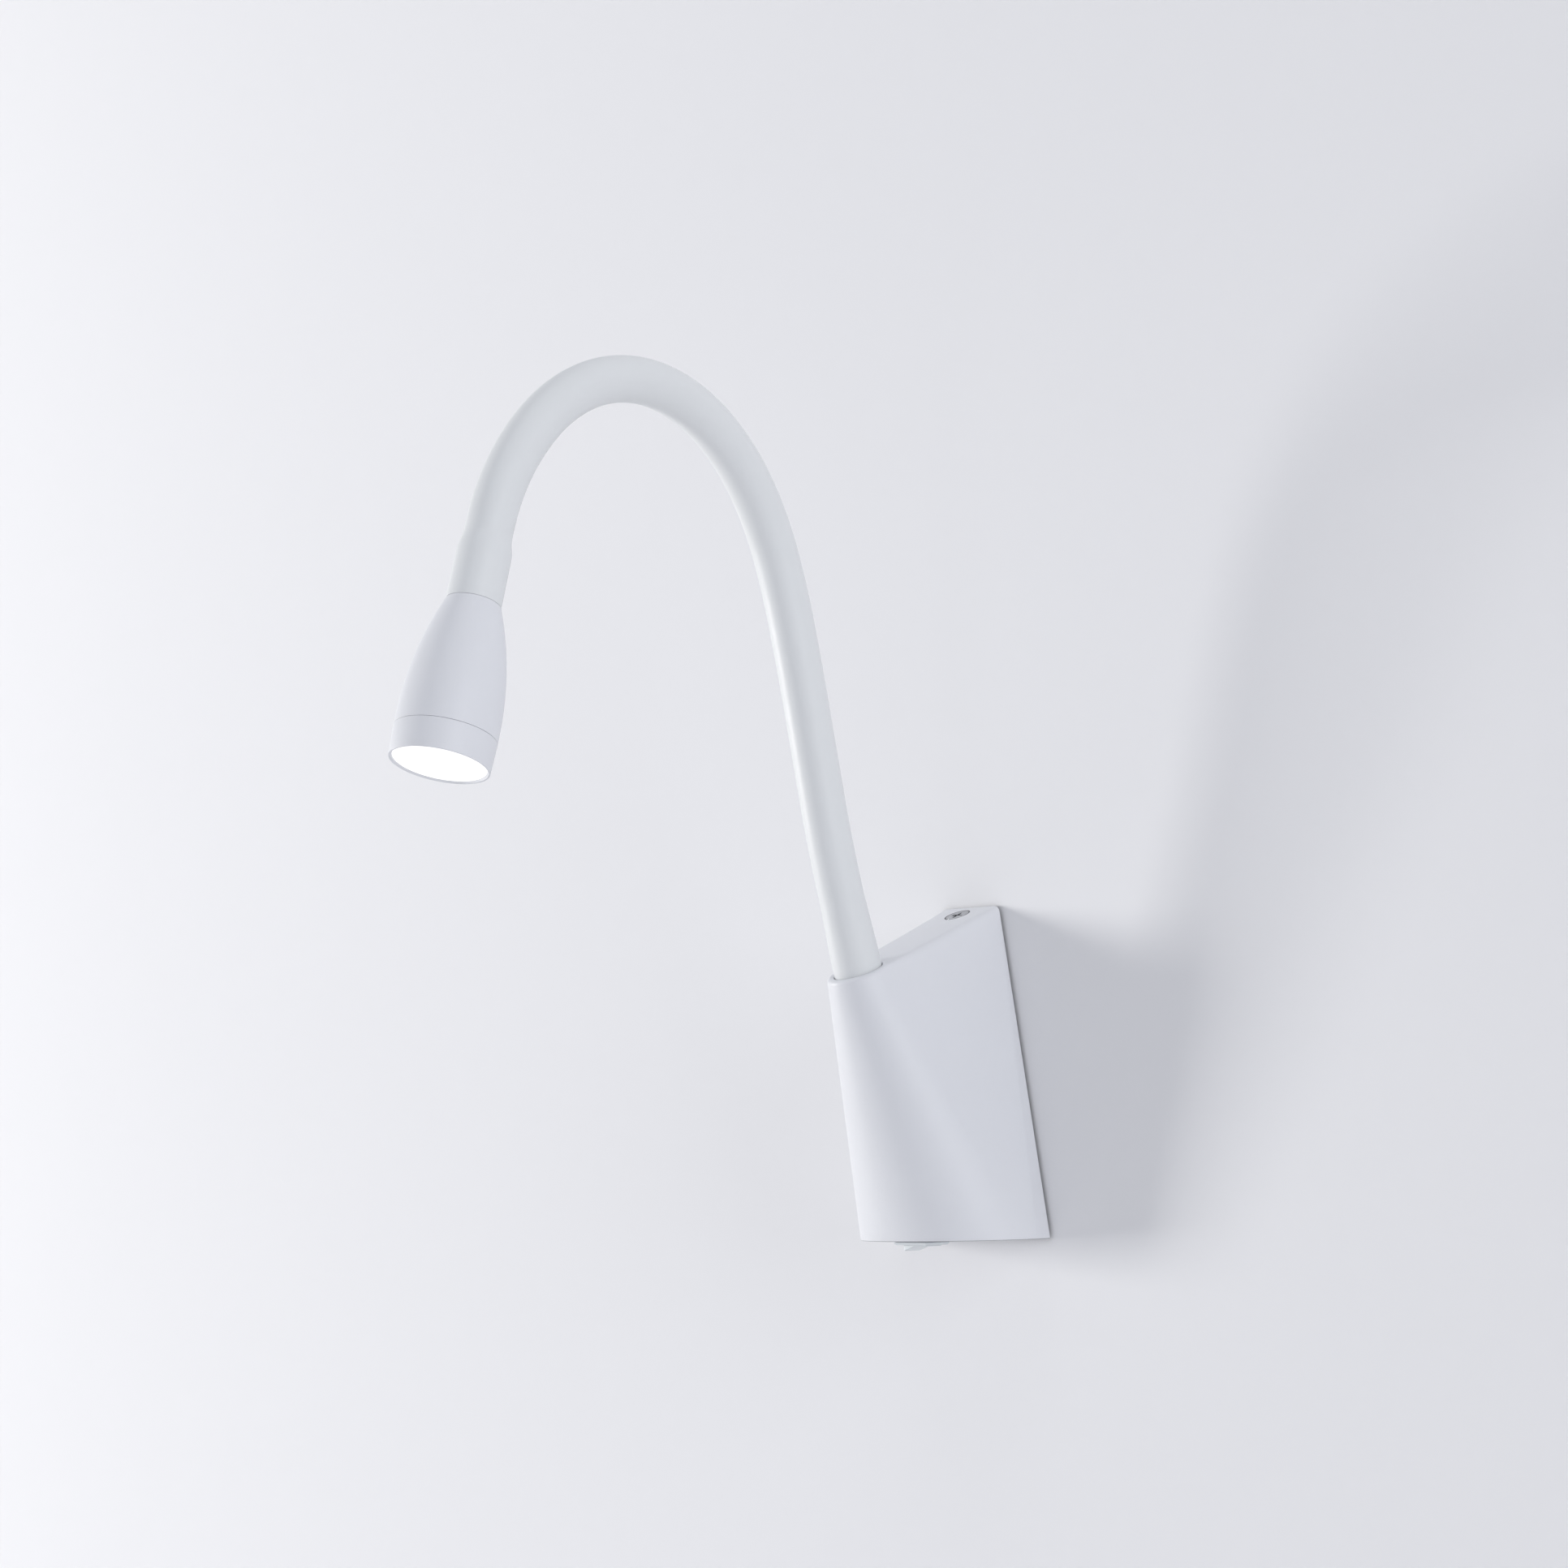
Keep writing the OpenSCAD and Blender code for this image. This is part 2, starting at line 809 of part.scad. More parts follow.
module base_ferrule() {
  cup_in = core_r + core_fit;
  color("gold")
    at_nose(0)
      difference() {
        union() {
          translate([0, 0, -stub_l])
            cylinder(r = stub_r, h = stub_l);
          translate([0, 0, -seat_depth])
            cylinder(r = end_r, h = shoulder_t);
          translate([0, 0, shoulder_t - seat_depth - eps])
            cylinder(r = cup_r, h = seat_depth - shoulder_t + base_cup + eps);
        }
        translate([0, 0, -stub_l - 1])
          cylinder(r = core_bore_r, h = 2 * stub_l);
        translate([0, 0, shoulder_t - seat_depth])
          cylinder(r = cup_in, h = 2 * stub_l);
      }
}

module base_washer() {
  color("silver")
    at_nose(-seat_depth - shelf_t - washer_t)
      difference() {
        cylinder(r = washer_r, h = washer_t);
        translate([0, 0, -1])
          cylinder(r = stub_r + core_fit, h = washer_t + 2);
      }
}

module base_lock_nut() {
  color("silver")
    at_nose(-seat_depth - shelf_t - washer_t - nut_t)
      difference() {
        cylinder(r = nut_r, h = nut_t, $fn = 6);
        translate([0, 0, -1])
          cylinder(r = stub_r + core_fit, h = nut_t + 2);
      }
}

// Core stretch held in the base ferrule
module neck_core_base() {
  start = shoulder_t - seat_depth + core_fit;
  color("dimgray")
    at_nose(0)
      difference() {
        union() {
          translate([0, 0, start])
            cylinder(r = core_r, h = base_run - start);
          translate([0, 0, base_run])
            core_cap();
        }
        translate([0, 0, start - 1])
          cylinder(r = core_bore_r, h = 2 * base_run);
      }
}

// Round end of a core stretch
module core_cap() {
  intersection() {
    half_ball(ball_r);
    cylinder(r = core_r, h = 2 * ball_r);
  }
}

// Sleeve end in the nose, over the base ferrule
module neck_sleeve_base() {
  start = shoulder_t - seat_depth + core_fit;
  full = base_cup + swell_lead;
  color("white")
    at_nose(0)
      difference() {
        union() {
          rotate_extrude()
            polygon([[0, start], [end_r, start], [end_r, full], [neck_r, full + swell_run],
              [neck_r, base_run], [0, base_run]]);
          translate([0, 0, base_run])
            half_ball(ball_r);
        }
        translate([0, 0, start - 1])
          cylinder(r = core_r + core_fit, h = 2 * base_run);
        translate([0, 0, start - 1])
          cylinder(r = cup_r + core_fit, h = base_cup + core_fit - start + 1);
      }
}

// Core of link i, between bending points i and i + 1
module neck_core(i) {
  low = core_bore_r + step_r;
  high = core_r - step_r;
  color("dimgray")
    at_joint(i)
      difference() {
        union() {
          bent_tube(core_r, core_bore_r, link_l(i), link_turn(i));
          link_end(i)
            if (i == link_count)
              rotate_extrude()
                translate([low, -root_l])
                  square([high - low, root_l + tip_straight - cup_floor - core_fit]);
            else
              ball_end(low, high);
        }
        sphere(r = socket_r);
      }
}

// Round end of a link that dips into the next one's socket, rooted inside the link's wall
module ball_end(low, high) {
  rotate_extrude()
    intersection() {
      circle(r = ball_r);
      translate([low, -root_l])
        square([high - low, root_l + ball_r]);
    }
}

// Sleeve of link i, and its swollen end over the head ferrule
module neck_sleeve(i) {
  hollow_r = core_r + core_fit;
  color("white")
    at_joint(i)
      difference() {
        union() {
          bent_tube(neck_r, hollow_r, link_l(i), link_turn(i));
          link_end(i)
            if (i == link_count)
              sleeve_tip(hollow_r + step_r);
            else
              ball_end(hollow_r + step_r, neck_r);
        }
        sphere(r = socket_r);
      }
}

module sleeve_tip(low) {
  cup_at = tip_straight - head_cup - core_fit;
  full = cup_at - swell_lead + swell_run / 2;
  top = tip_straight - seam_gap;
  rotate_extrude()
    polygon([[low, -root_l], [neck_r + step_r, -root_l], [end_r, full], [end_r, top],
      [cup_r + core_fit, top], [cup_r + core_fit, cup_at], [low, cup_at]]);
}

// Head

module head_ferrule() {
  color("gold")
    at_head(0)
      difference() {
        union() {
          translate([0, 0, -head_cup])
            cylinder(r = cup_r, h = head_cup);
          cylinder(r = head_stub_r, h = head_stub_l);
        }
        translate([0, 0, -head_cup - 1])
          cylinder(r = core_r + core_fit, h = head_cup - cup_floor + 1);
        translate([0, 0, -head_cup])
          cylinder(r = core_bore_r, h = 2 * head_cup);
      }
}

// Half outline of the head up to length l, drawn in by inset
module head_outline(inset, l) {
  intersection() {
    translate([head_r - head_curve_r, head_arc_l])
      circle(r = head_curve_r - inset, $fn = 360);
    square([head_r, min(l, head_arc_l)]);
  }
  if (l > head_arc_l)
    translate([0, head_arc_l - eps])
      square([head_r - inset, l - head_arc_l + eps]);
}

module head_shell() {
  color("white")
    at_head(0)
      rotate_extrude($fn = 96)
        difference() {
          head_outline(0, seam_t);
          difference() {
            head_outline(head_wall, seam_t + 1);
            square([head_r, head_top_t]);
          }
          translate([0, -1])
            square([head_stub_r + core_fit, head_top_t + 2]);
        }
}

module led_carrier() {
  color("silver")
    at_head(0)
      difference() {
        rotate_extrude($fn = 96)
          intersection() {
            head_outline(head_wall + seat_gap, carrier_front);
            translate([carrier_bore_r, carrier_front - carrier_l])
              square([head_r, carrier_l]);
          }
        board_screw_places()
          translate([0, 0, -carrier_l - 1])
            cylinder(r = board_screw_r + core_fit, h = carrier_l + 2);
      }
}

// The two screw places on the front of the carrier
module board_screw_places() {
  for (a = [0, 180])
    rotate([0, 0, a])
      translate([board_screw_at, 0, carrier_front])
        children();
}

module led_board() {
  color("white")
    at_head(0)
      difference() {
        translate([0, 0, carrier_front])
          cylinder(r = board_r, h = board_t);
        board_screw_places()
          translate([0, 0, -1])
            cylinder(r = board_screw_r + slide_fit, h = board_t + 2);
        translate([0, lead_hole_at, carrier_front - 1])
          cylinder(r = lead_hole_r, h = board_t + 2);
      }
}

module board_screws() {
  color("silver")
    at_head(board_t)
      board_screw_places()
        pan_screw(board_screw_head_r, emitter_t, board_screw_r, carrier_l / 2);
}

module led_emitter() {
  color("khaki")
    at_head(carrier_front + board_t)
      cylinder(r = emitter_r, h = emitter_t);
}

module reflector() {
  low = carrier_front + board_t + emitter_t + slide_fit;
  wide = mouth_r - mouth_wall - reflector_wall;
  color("gainsboro")
    at_head(0)
      rotate_extrude($fn = 96)
        polygon([
          [reflector_small_r, low],
          [reflector_small_r + reflector_wall, low],
          [wide, shoulder_at],
          [mouth_r - slide_fit, shoulder_at],
          [mouth_r - slide_fit, shoulder_at + rim_t],
          [wide - reflector_wall, shoulder_at + rim_t]]);
}

module lens_seal() {
  color("dimgray")
    at_head(shoulder_at + rim_t)
      rotate_extrude($fn = 96)
        translate([mouth_r - seal_w - slide_fit / 2, 0])
          square([seal_w, seal_t]);
}

module lens() {
  color("lightyellow")
    at_head(lens_back)
      cylinder(r = mouth_r - slide_fit / 2, h = lens_t, $fn = 96);
}

module front_bezel() {
  spigot_r = head_r - head_wall - core_fit;
  start = seam_t + seam_gap;
  color("white")
    at_head(0)
      rotate_extrude($fn = 96)
        polygon([
          [spigot_r - spigot_wall, seam_t - spigot_l],
          [spigot_r, seam_t - spigot_l],
          [spigot_r, start],
          [head_r, start],
          [head_r - bezel_taper, mouth_t],
          [mouth_r, mouth_t],
          [mouth_r, shoulder_at],
          [spigot_r - spigot_wall, shoulder_at]]);
}

wall_bracket();
block_shell();
cover_screw();
terminal_block();
terminal_cages();
terminal_screws();
bracket_screws();
driver_case();
driver_lid();
driver_board();
driver_parts();
earth_screw();
switch_housing();
switch_rocker();
switch_terminals();
base_ferrule();
base_washer();
base_lock_nut();
lead_live();
lead_switched();
lead_neutral();
lead_earth();
lead_led();
neck_core_base();
neck_sleeve_base();
for (i = [1:link_count]) {
  neck_core(i);
  neck_sleeve(i);
}
head_ferrule();
head_shell();
led_carrier();
led_board();
board_screws();
led_emitter();
reflector();
lens_seal();
lens();
front_bezel();
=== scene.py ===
import json
import bmesh
import bpy
import numpy as np
from mathutils import Matrix, Vector
from mathutils.geometry import delaunay_2d_cdt


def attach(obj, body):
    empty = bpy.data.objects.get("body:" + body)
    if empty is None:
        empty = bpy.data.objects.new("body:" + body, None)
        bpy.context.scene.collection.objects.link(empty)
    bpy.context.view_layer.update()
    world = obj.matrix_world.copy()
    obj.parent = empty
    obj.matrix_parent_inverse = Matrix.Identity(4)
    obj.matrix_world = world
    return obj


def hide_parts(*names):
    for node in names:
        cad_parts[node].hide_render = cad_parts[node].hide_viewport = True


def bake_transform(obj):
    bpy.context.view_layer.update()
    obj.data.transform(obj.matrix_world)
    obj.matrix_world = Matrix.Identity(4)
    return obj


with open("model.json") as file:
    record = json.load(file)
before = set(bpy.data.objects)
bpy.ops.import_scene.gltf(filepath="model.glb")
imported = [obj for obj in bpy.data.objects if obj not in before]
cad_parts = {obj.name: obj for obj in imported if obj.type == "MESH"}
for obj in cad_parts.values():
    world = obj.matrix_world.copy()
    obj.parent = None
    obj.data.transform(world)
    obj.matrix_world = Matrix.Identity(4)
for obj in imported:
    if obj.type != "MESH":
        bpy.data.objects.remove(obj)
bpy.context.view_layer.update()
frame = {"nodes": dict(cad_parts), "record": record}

NODES = frame["nodes"]
MM = 0.001

# Sizes in millimetres, as in the solids
BLOCK_TOP, BLOCK_LOW = 52.5, -52.5
FOOT_HALF, FOOT_R, FOOT_ARC_Y = 31.0, 32.0, 8.0
TOP_HALF, TOP_SLOPE, NOSE_Y, NOSE_R = 12.5, 22.0, 52.0, 10.0
SHELL_WALL, WALL_GAP = 2.2, 1.0
NECK_LEAN, NECK_TWIST = 16.0, 5.0
NOSE_HOLE_R, NOSE_MOUTH_R, SEAT_DEPTH, SHELF_T, STUB_HOLE_R = 8.2, 7.8, 10.0, 3.0, 5.2
SCREW_Y, SCREW_HOLE_R, SCREW_SINK_R, SCREW_SINK_H = 7.0, 2.2, 4.25, 2.15
SWITCH_Y, CUT_W, CUT_L = 26.5, 9.0, 12.9
NECK_R, NECK_START_R, NECK_END_R = 7.0, 7.55, 8.0
CORE_ROOM_R, CUP_ROOM_R = 5.3, 6.25
NECK_RUNS = [26.0] + [28.0] * 3 + [21.0] * 8 + [20.0, 24.0]
NECK_TURNS = [0, -4.5, 0, 2, 6.5, 13.5, 18, 20.5, 22, 20.5, 17.5, 14.5, 15.5, 0]
HEAD_R, HEAD_ARC_L, SEAM_T, MOUTH_T, HEAD_WALL = 14.8, 37.0, 40.0, 49.0, 1.6
LENS_LOW, LENS_FACE, LENS_R, SEAT_T = 45.6, 48.2, 13.5, 44.0
SLOPE_ANGLE = np.radians(TOP_SLOPE)
SLOPE_NORMAL = np.array([0, -np.sin(SLOPE_ANGLE), np.cos(SLOPE_ANGLE)])
NOSE_Z = BLOCK_TOP - NOSE_Y * np.tan(SLOPE_ANGLE)
SHELF_LOW = -SEAT_DEPTH - SHELF_T

# Sizes in millimetres of the visible surfaces alone
MERGE, SLIVER, FILL_ERROR, TOUCHING = 0.002, 0.0001, 1e-5, 0.01
FOOT_EASE, MOUTH_RIM = 0.5, 0.5
TOP_EASE_AT, TOP_EASE = [-NOSE_Y, -46, -38, -25, -8, 0], [1.3, 1.9, 2.8, 3.3, 3.0, 2.2]
MOUTH_LOW, SEAT_HIGH, SEAT_BACK_Y = -6.0, -7.0, -40.0
TAPER_FROM, TAPER_TO, SHOULDER_AT, SHOULDER_L = 6.0, 22.5, 300.5, 6.5
BASE_CUP_END, HEAD_CUP_START, SLEEVE_START, SLEEVE_SHORT, SLEEVE_STEP = 15.3, 301.6, -7.9, 0.05, 1.2
SEAM_HALF, LIP_IN, LIP_EASE = 0.08, 0.15, 0.03
THROAT_R, THROAT_L, COLLAR_EASE = 4.55, 5.0, 0.12
BEZEL_IN_R, SPIGOT_R, SPIGOT_T = 12.6, 13.15, 36.0
POCKET_R, RIM_R, RIM_DROP, RIM_TAPER = 13.6, 13.95, 0.5, 0.3
LENS_CROWN, LENS_FLAT_R = 0.6, 12.2
FLANGE_DROP = 0.35

# Shares and counts of the visible surfaces
BEND_SHARE = 0.49
# DARK_ROWS: rows of the foot's rounded edge painted dark as shade
FOOT_ROWS, SIDE_ROWS, TOP_ROWS, DARK_ROWS = 7, 25, 8, 4
SEAT_ROWS = 30
ROOF_ROWS = FOOT_ROWS + SIDE_ROWS + TOP_ROWS - 2 - SEAT_ROWS  # the rim joins as many rows inside as outside
LINKS = 12
NOSE_AROUND, SCREW_AROUND, SLEEVE_AROUND, HEAD_AROUND = 96, 64, 72, 128
CAST_AND_SHADE, IN_SHADE = 1.0, 0.6  # marks of bare cast metal inside, whose dark tone is also painted shade in the gap at the wall and in the holes, and of the foot's lower edge, painted dark as shade


# Mesh helpers

def make_piece(name, verts, faces, sharp, bare=None):
    """A mesh object at the origin from points in millimetres: close points are joined, faces are turned outwards, and
    shading is smooth except over edges sharper than the given angle. Faces marked as bare metal or painted shade carry
    that mark as a value."""
    mesh = bpy.data.meshes.new(name)
    mesh.from_pydata((np.asarray(verts, float) * MM).tolist(), [], faces)
    if bare is not None:
        mark = mesh.attributes.new("bare_cast", "FLOAT", "FACE")
        mark.data.foreach_set("value", np.asarray(bare, np.float32))
    bm = bmesh.new()
    bm.from_mesh(mesh)
    bmesh.ops.remove_doubles(bm, verts=bm.verts, dist=MERGE * MM)
    bmesh.ops.dissolve_degenerate(bm, edges=bm.edges, dist=SLIVER * MM)
    bmesh.ops.recalc_face_normals(bm, faces=bm.faces)
    bm.to_mesh(mesh)
    bm.free()
    mesh.polygons.foreach_set("use_smooth", np.ones(len(mesh.polygons), bool))
    mesh.set_sharp_from_angle(angle=np.radians(sharp))
    piece = bpy.data.objects.new(name, mesh)
    bpy.context.scene.collection.objects.link(piece)
    return piece


def grid_faces(rows, cols, wrap_rows=False, wrap_cols=False):
    """Quads between neighbouring points of a grid stored row after row, going round where a direction is closed."""
    r = np.arange(rows if wrap_rows else rows - 1)[:, None]
    c = np.arange(cols if wrap_cols else cols - 1)[None, :]
    r2, c2 = (r + 1) % rows, (c + 1) % cols
    quads = np.stack([r * cols + c, r * cols + c2, r2 * cols + c2, r2 * cols + c], axis=-1)
    return quads.reshape(-1, 4).tolist()


def flat_fill(outline, holes, place):
    """A flat face with holes: a constrained triangulation joins the loops in the plane, and place puts it in space."""
    loops = [np.asarray(outline)] + [np.asarray(h) for h in holes]
    points = np.concatenate(loops)
    ends = np.cumsum([len(l) for l in loops])
    edges = []
    for first, last in zip(np.r_[0, ends[:-1]], ends):
        i = np.arange(first, last)
        edges += np.stack([i, np.r_[i[1:], first]], 1).tolist()
    flat, _, tris, *_ = delaunay_2d_cdt([Vector(p) for p in points.tolist()], edges, [], 0, FILL_ERROR)
    flat = np.array([tuple(p) for p in flat])
    middles = np.array([flat[list(t)].mean(0) for t in tris])
    keep = inside(middles, loops[0])
    for hole in loops[1:]:
        keep &= ~inside(middles, hole)
    return place(flat), [list(t) for t, k in zip(tris, keep) if k]


def inside(points, loop):
    """Which points lie inside a closed loop: a ray to the right crosses the loop an odd number of times."""
    a, b = loop, np.roll(loop, -1, 0)
    px, py = points[:, None, 0], points[:, None, 1]
    over = (a[:, 1] > py) != (b[:, 1] > py)
    rise = np.where(b[:, 1] == a[:, 1], 1e-9, b[:, 1] - a[:, 1])
    cross = a[:, 0] + (py - a[:, 1]) * (b[:, 0] - a[:, 0]) / rise
    return (over & (px < cross)).sum(1) % 2 == 1


class Surface:
    """Collects grids and faces of one piece."""

    def __init__(self):
        self.verts, self.faces, self.bare, self.count = [], [], [], 0

    def add(self, verts, faces, bare=0.0):
        """Adds faces over points of their own, with the mark they carry."""
        verts = np.asarray(verts, float).reshape(-1, 3)
        self.verts.append(verts)
        self.faces += [[i + self.count for i in f] for f in faces]
        self.bare += [bare] * len(faces)
        self.count += len(verts)

    def grid(self, points, wrap_cols=False, bare=0.0):
        """Adds a grid of points given as rows of columns."""
        rows, cols = points.shape[:2]
        self.add(points, grid_faces(rows, cols, wrap_cols=wrap_cols), bare)

    def piece(self, name, sharp):
        """The mesh object of all that was added."""
        return make_piece(name, np.concatenate(self.verts), self.faces, sharp, self.bare)


# Frames along the neck

def turned(axis, degrees):
    """Four by four turn about a main axis."""
    return np.array(Matrix.Rotation(np.radians(degrees), 4, axis))


def shifted(x, y, z):
    """Four by four shift."""
    return np.array(Matrix.Translation((x, y, z)))


def placed(matrix, points):
    """Points carried by a four by four matrix."""
    points = np.asarray(points, float)
    return points @ matrix[:3, :3].T + matrix[:3, 3]


NOSE_FRAME = shifted(0, -NOSE_Y, NOSE_Z) @ turned("X", NECK_LEAN) @ turned("Z", NECK_TWIST)
NECK_KNOTS = np.r_[0, np.cumsum(NECK_RUNS)]
NECK_ANGLES = np.r_[0, np.cumsum(NECK_TURNS)]
NECK_LENGTH = NECK_KNOTS[-1]
BENDS = NECK_KNOTS[1:LINKS + 1]


def neck_line(s):
    """Points of the neck's middle line at lengths s from the nose, with the unit directions across the bending plane
    and square to the line within it. The turn grows evenly within each link, and the line is the running sum of its
    directions in the bending plane."""
    before_nose, past_head, steps = 20.0, 60.0, 16000
    fine = np.linspace(-before_nose, NECK_LENGTH + past_head, steps + 1)
    angle = np.radians(np.interp(fine, NECK_KNOTS, NECK_ANGLES))
    step = np.diff(fine)
    mid = (angle[1:] + angle[:-1]) / 2
    back = np.r_[0, np.cumsum(-np.sin(mid) * step)]
    rise = np.r_[0, np.cumsum(np.cos(mid) * step)]
    back -= np.interp(0, fine, back)
    rise -= np.interp(0, fine, rise)
    s = np.asarray(s, float)
    y, z = np.interp(s, fine, back), np.interp(s, fine, rise)
    a = np.radians(np.interp(s, NECK_KNOTS, NECK_ANGLES))
    zero, one = np.zeros_like(s), np.ones_like(s)
    turn = NOSE_FRAME[:3, :3]
    point = placed(NOSE_FRAME, np.stack([zero, y, z], -1))
    across = np.stack([one, zero, zero], -1) @ turn.T
    over = np.stack([zero, np.cos(a), np.sin(a)], -1) @ turn.T
    return point, across, over


def head_frame():
    """Frame at the sleeve's end, with Z along the head's axis towards the mouth."""
    point, across, over = neck_line(np.array([NECK_LENGTH]))
    frame4 = np.eye(4)
    frame4[:3, 0], frame4[:3, 1] = across[0], over[0]
    frame4[:3, 2] = np.cross(across[0], over[0])
    frame4[:3, 3] = point[0]
    return frame4


HEAD_FRAME = head_frame()


# Shader helpers

def new_group(name, inputs, outputs):
    """An empty shader node group with named sockets, and its input and output nodes."""
    group = bpy.data.node_groups.new(name, "ShaderNodeTree")
    for label, kind, value in inputs:
        socket = group.interface.new_socket(label, in_out="INPUT", socket_type=kind)
        socket.default_value = value
    for label, kind in outputs:
        group.interface.new_socket(label, in_out="OUTPUT", socket_type=kind)
    return group, group.nodes.new("NodeGroupInput"), group.nodes.new("NodeGroupOutput")


def node(tree, kind, **values):
    """A node with its properties and its input sockets set by name."""
    made = tree.nodes.new(kind)
    for label, value in values.items():
        if label in made.inputs:
            made.inputs[label].default_value = value
        else:
            setattr(made, label, value)
    return made


def maths(tree, operation, *terms):
    """The output of a maths node whose terms are numbers or the outputs of other nodes."""
    made = node(tree, "ShaderNodeMath", operation=operation)
    for socket, term in zip(made.inputs, terms):
        if isinstance(term, bpy.types.NodeSocket):
            tree.links.new(term, socket)
        else:
            socket.default_value = term
    return made.outputs[0]


def object_place(tree):
    """The place on the object, as a texture coordinate."""
    return node(tree, "ShaderNodeTexCoord").outputs["Object"]


def noise(tree, scale, detail, roughness=0.5):
    """Noise on Object coordinates whose scale comes from another node."""
    made = node(tree, "ShaderNodeTexNoise", Detail=detail, Roughness=roughness)
    tree.links.new(scale, made.inputs["Scale"])
    tree.links.new(object_place(tree), made.inputs["Vector"])
    return made.outputs["Fac"]


def map_range(tree, value, before, after=(0.0, 1.0), **more):
    """The value carried from one range to another."""
    made = node(tree, "ShaderNodeMapRange", **more)
    made.inputs["From Min"].default_value, made.inputs["From Max"].default_value = before
    made.inputs["To Min"].default_value, made.inputs["To Max"].default_value = after
    tree.links.new(value, made.inputs["Value"])
    return made


def mottle_group():
    """Soft uneven tone: two sizes of noise on Object coordinates lighten and darken a colour by Spread, and the same
    noise gives a roughness between Smooth and Rough."""
    group, ins, outs = new_group(
        "coat_mottle",
        [("Color", "NodeSocketColor", (0.8, 0.8, 0.8, 1)), ("Spread", "NodeSocketFloat", 0.05),
         ("Scale", "NodeSocketFloat", 60.0), ("Smooth", "NodeSocketFloat", 0.4), ("Rough", "NodeSocketFloat", 0.5)],
        [("Color", "NodeSocketColor"), ("Roughness", "NodeSocketFloat")])
    link, given = group.links.new, ins.outputs
    finer = 9.0
    broad = noise(group, given["Scale"], 3.0, 0.55)
    fine = noise(group, maths(group, "MULTIPLY", given["Scale"], finer), 2.0, 0.6)
    mean = maths(group, "MULTIPLY", maths(group, "ADD", broad, fine), 0.5)
    factor = maths(group, "MULTIPLY_ADD", maths(group, "SUBTRACT", mean, 0.5), given["Spread"], 1.0)
    tone = node(group, "ShaderNodeVectorMath", operation="SCALE")
    link(given["Color"], tone.inputs[0])
    link(factor, tone.inputs["Scale"])
    gloss = map_range(group, mean, (0.3, 0.7))
    link(given["Smooth"], gloss.inputs["To Min"])
    link(given["Rough"], gloss.inputs["To Max"])
    link(tone.outputs[0], outs.inputs["Color"])
    link(gloss.outputs["Result"], outs.inputs["Roughness"])
    return group


def peel_group():
    """Orange-peel height: fine noise with a slower swell under it, both on Object coordinates."""
    group, ins, outs = new_group(
        "orange_peel", [("Scale", "NodeSocketFloat", 900.0), ("Swell", "NodeSocketFloat", 0.3)],
        [("Height", "NodeSocketFloat")])
    given = ins.outputs
    slower = 0.12
    fine = noise(group, given["Scale"], 2.0, 0.45)
    slow = noise(group, maths(group, "MULTIPLY", given["Scale"], slower), 1.0)
    group.links.new(maths(group, "MULTIPLY_ADD", slow, given["Swell"], fine), outs.inputs["Height"])
    return group


MOTTLE, PEEL = mottle_group(), peel_group()


def place_group(tree, group, **values):
    """A node group placed in a material with its own values."""
    made = tree.nodes.new("ShaderNodeGroup")
    made.node_tree = group
    for label, value in values.items():
        made.inputs[label].default_value = value
    return made


def coated(name, color, smooth, rough, spread=0.05, scale=60.0, peel=900.0, bump=0.1, **shader):
    """A finish with mottled tone, uneven gloss and a fine bumpy skin. Constants go on the shader's own sockets."""
    material = bpy.data.materials.new(name)
    material.use_nodes = True
    tree = material.node_tree
    surface = tree.nodes["Principled BSDF"]
    tone = place_group(tree, MOTTLE, Color=(*color, 1), Spread=spread, Scale=scale, Smooth=smooth, Rough=rough)
    skin = place_group(tree, PEEL, Scale=peel)
    relief = node(tree, "ShaderNodeBump", Strength=bump, Distance=0.05 * MM)
    tree.links.new(tone.outputs["Color"], surface.inputs["Base Color"])
    tree.links.new(tone.outputs["Roughness"], surface.inputs["Roughness"])
    tree.links.new(skin.outputs["Height"], relief.inputs["Height"])
    tree.links.new(relief.outputs["Normal"], surface.inputs["Normal"])
    for label, value in shader.items():
        surface.inputs[label.replace("_", " ")].default_value = value
    return material


def mixed_base(material, factor, base, color):
    """Feeds the shader's base colour with a mix: base where the factor is low, the given colour where it is high."""
    tree = material.node_tree
    mix = node(tree, "ShaderNodeMix", data_type="RGBA")
    tree.links.new(factor, mix.inputs["Factor"])
    if isinstance(base, bpy.types.NodeSocket):
        tree.links.new(base, mix.inputs["A"])
    else:
        mix.inputs["A"].default_value = (*base, 1)
    mix.inputs["B"].default_value = (*color, 1)
    tree.links.new(mix.outputs["Result"], tree.nodes["Principled BSDF"].inputs["Base Color"])
    return material


def tone_of(tree):
    """The mottled tone that a finish already has."""
    return next(n for n in tree.nodes if n.type == "GROUP" and n.node_tree == MOTTLE).outputs["Color"]


def powder_coat():
    """White coat of the housing, left off the bare cast metal inside, which is marked on the faces. The metal's dark
    tone also serves as painted shade in the gap at the wall and in the holes, and the same dark is painted as shade on
    the foot's lower edge.
    """
    material = coated("white_powder_coat", (0.722, 0.731, 0.761), 0.44, 0.52, spread=0.03, scale=35.0, peel=1100.0,
                      bump=0.09)
    tree = material.node_tree
    mark = node(tree, "ShaderNodeAttribute", attribute_name="bare_cast")
    # dark of the bare metal inside, also painted shade at the wall's gap, the holes and the foot's lower edge
    return mixed_base(material, mark.outputs["Fac"], tone_of(tree), (0.17, 0.17, 0.175))


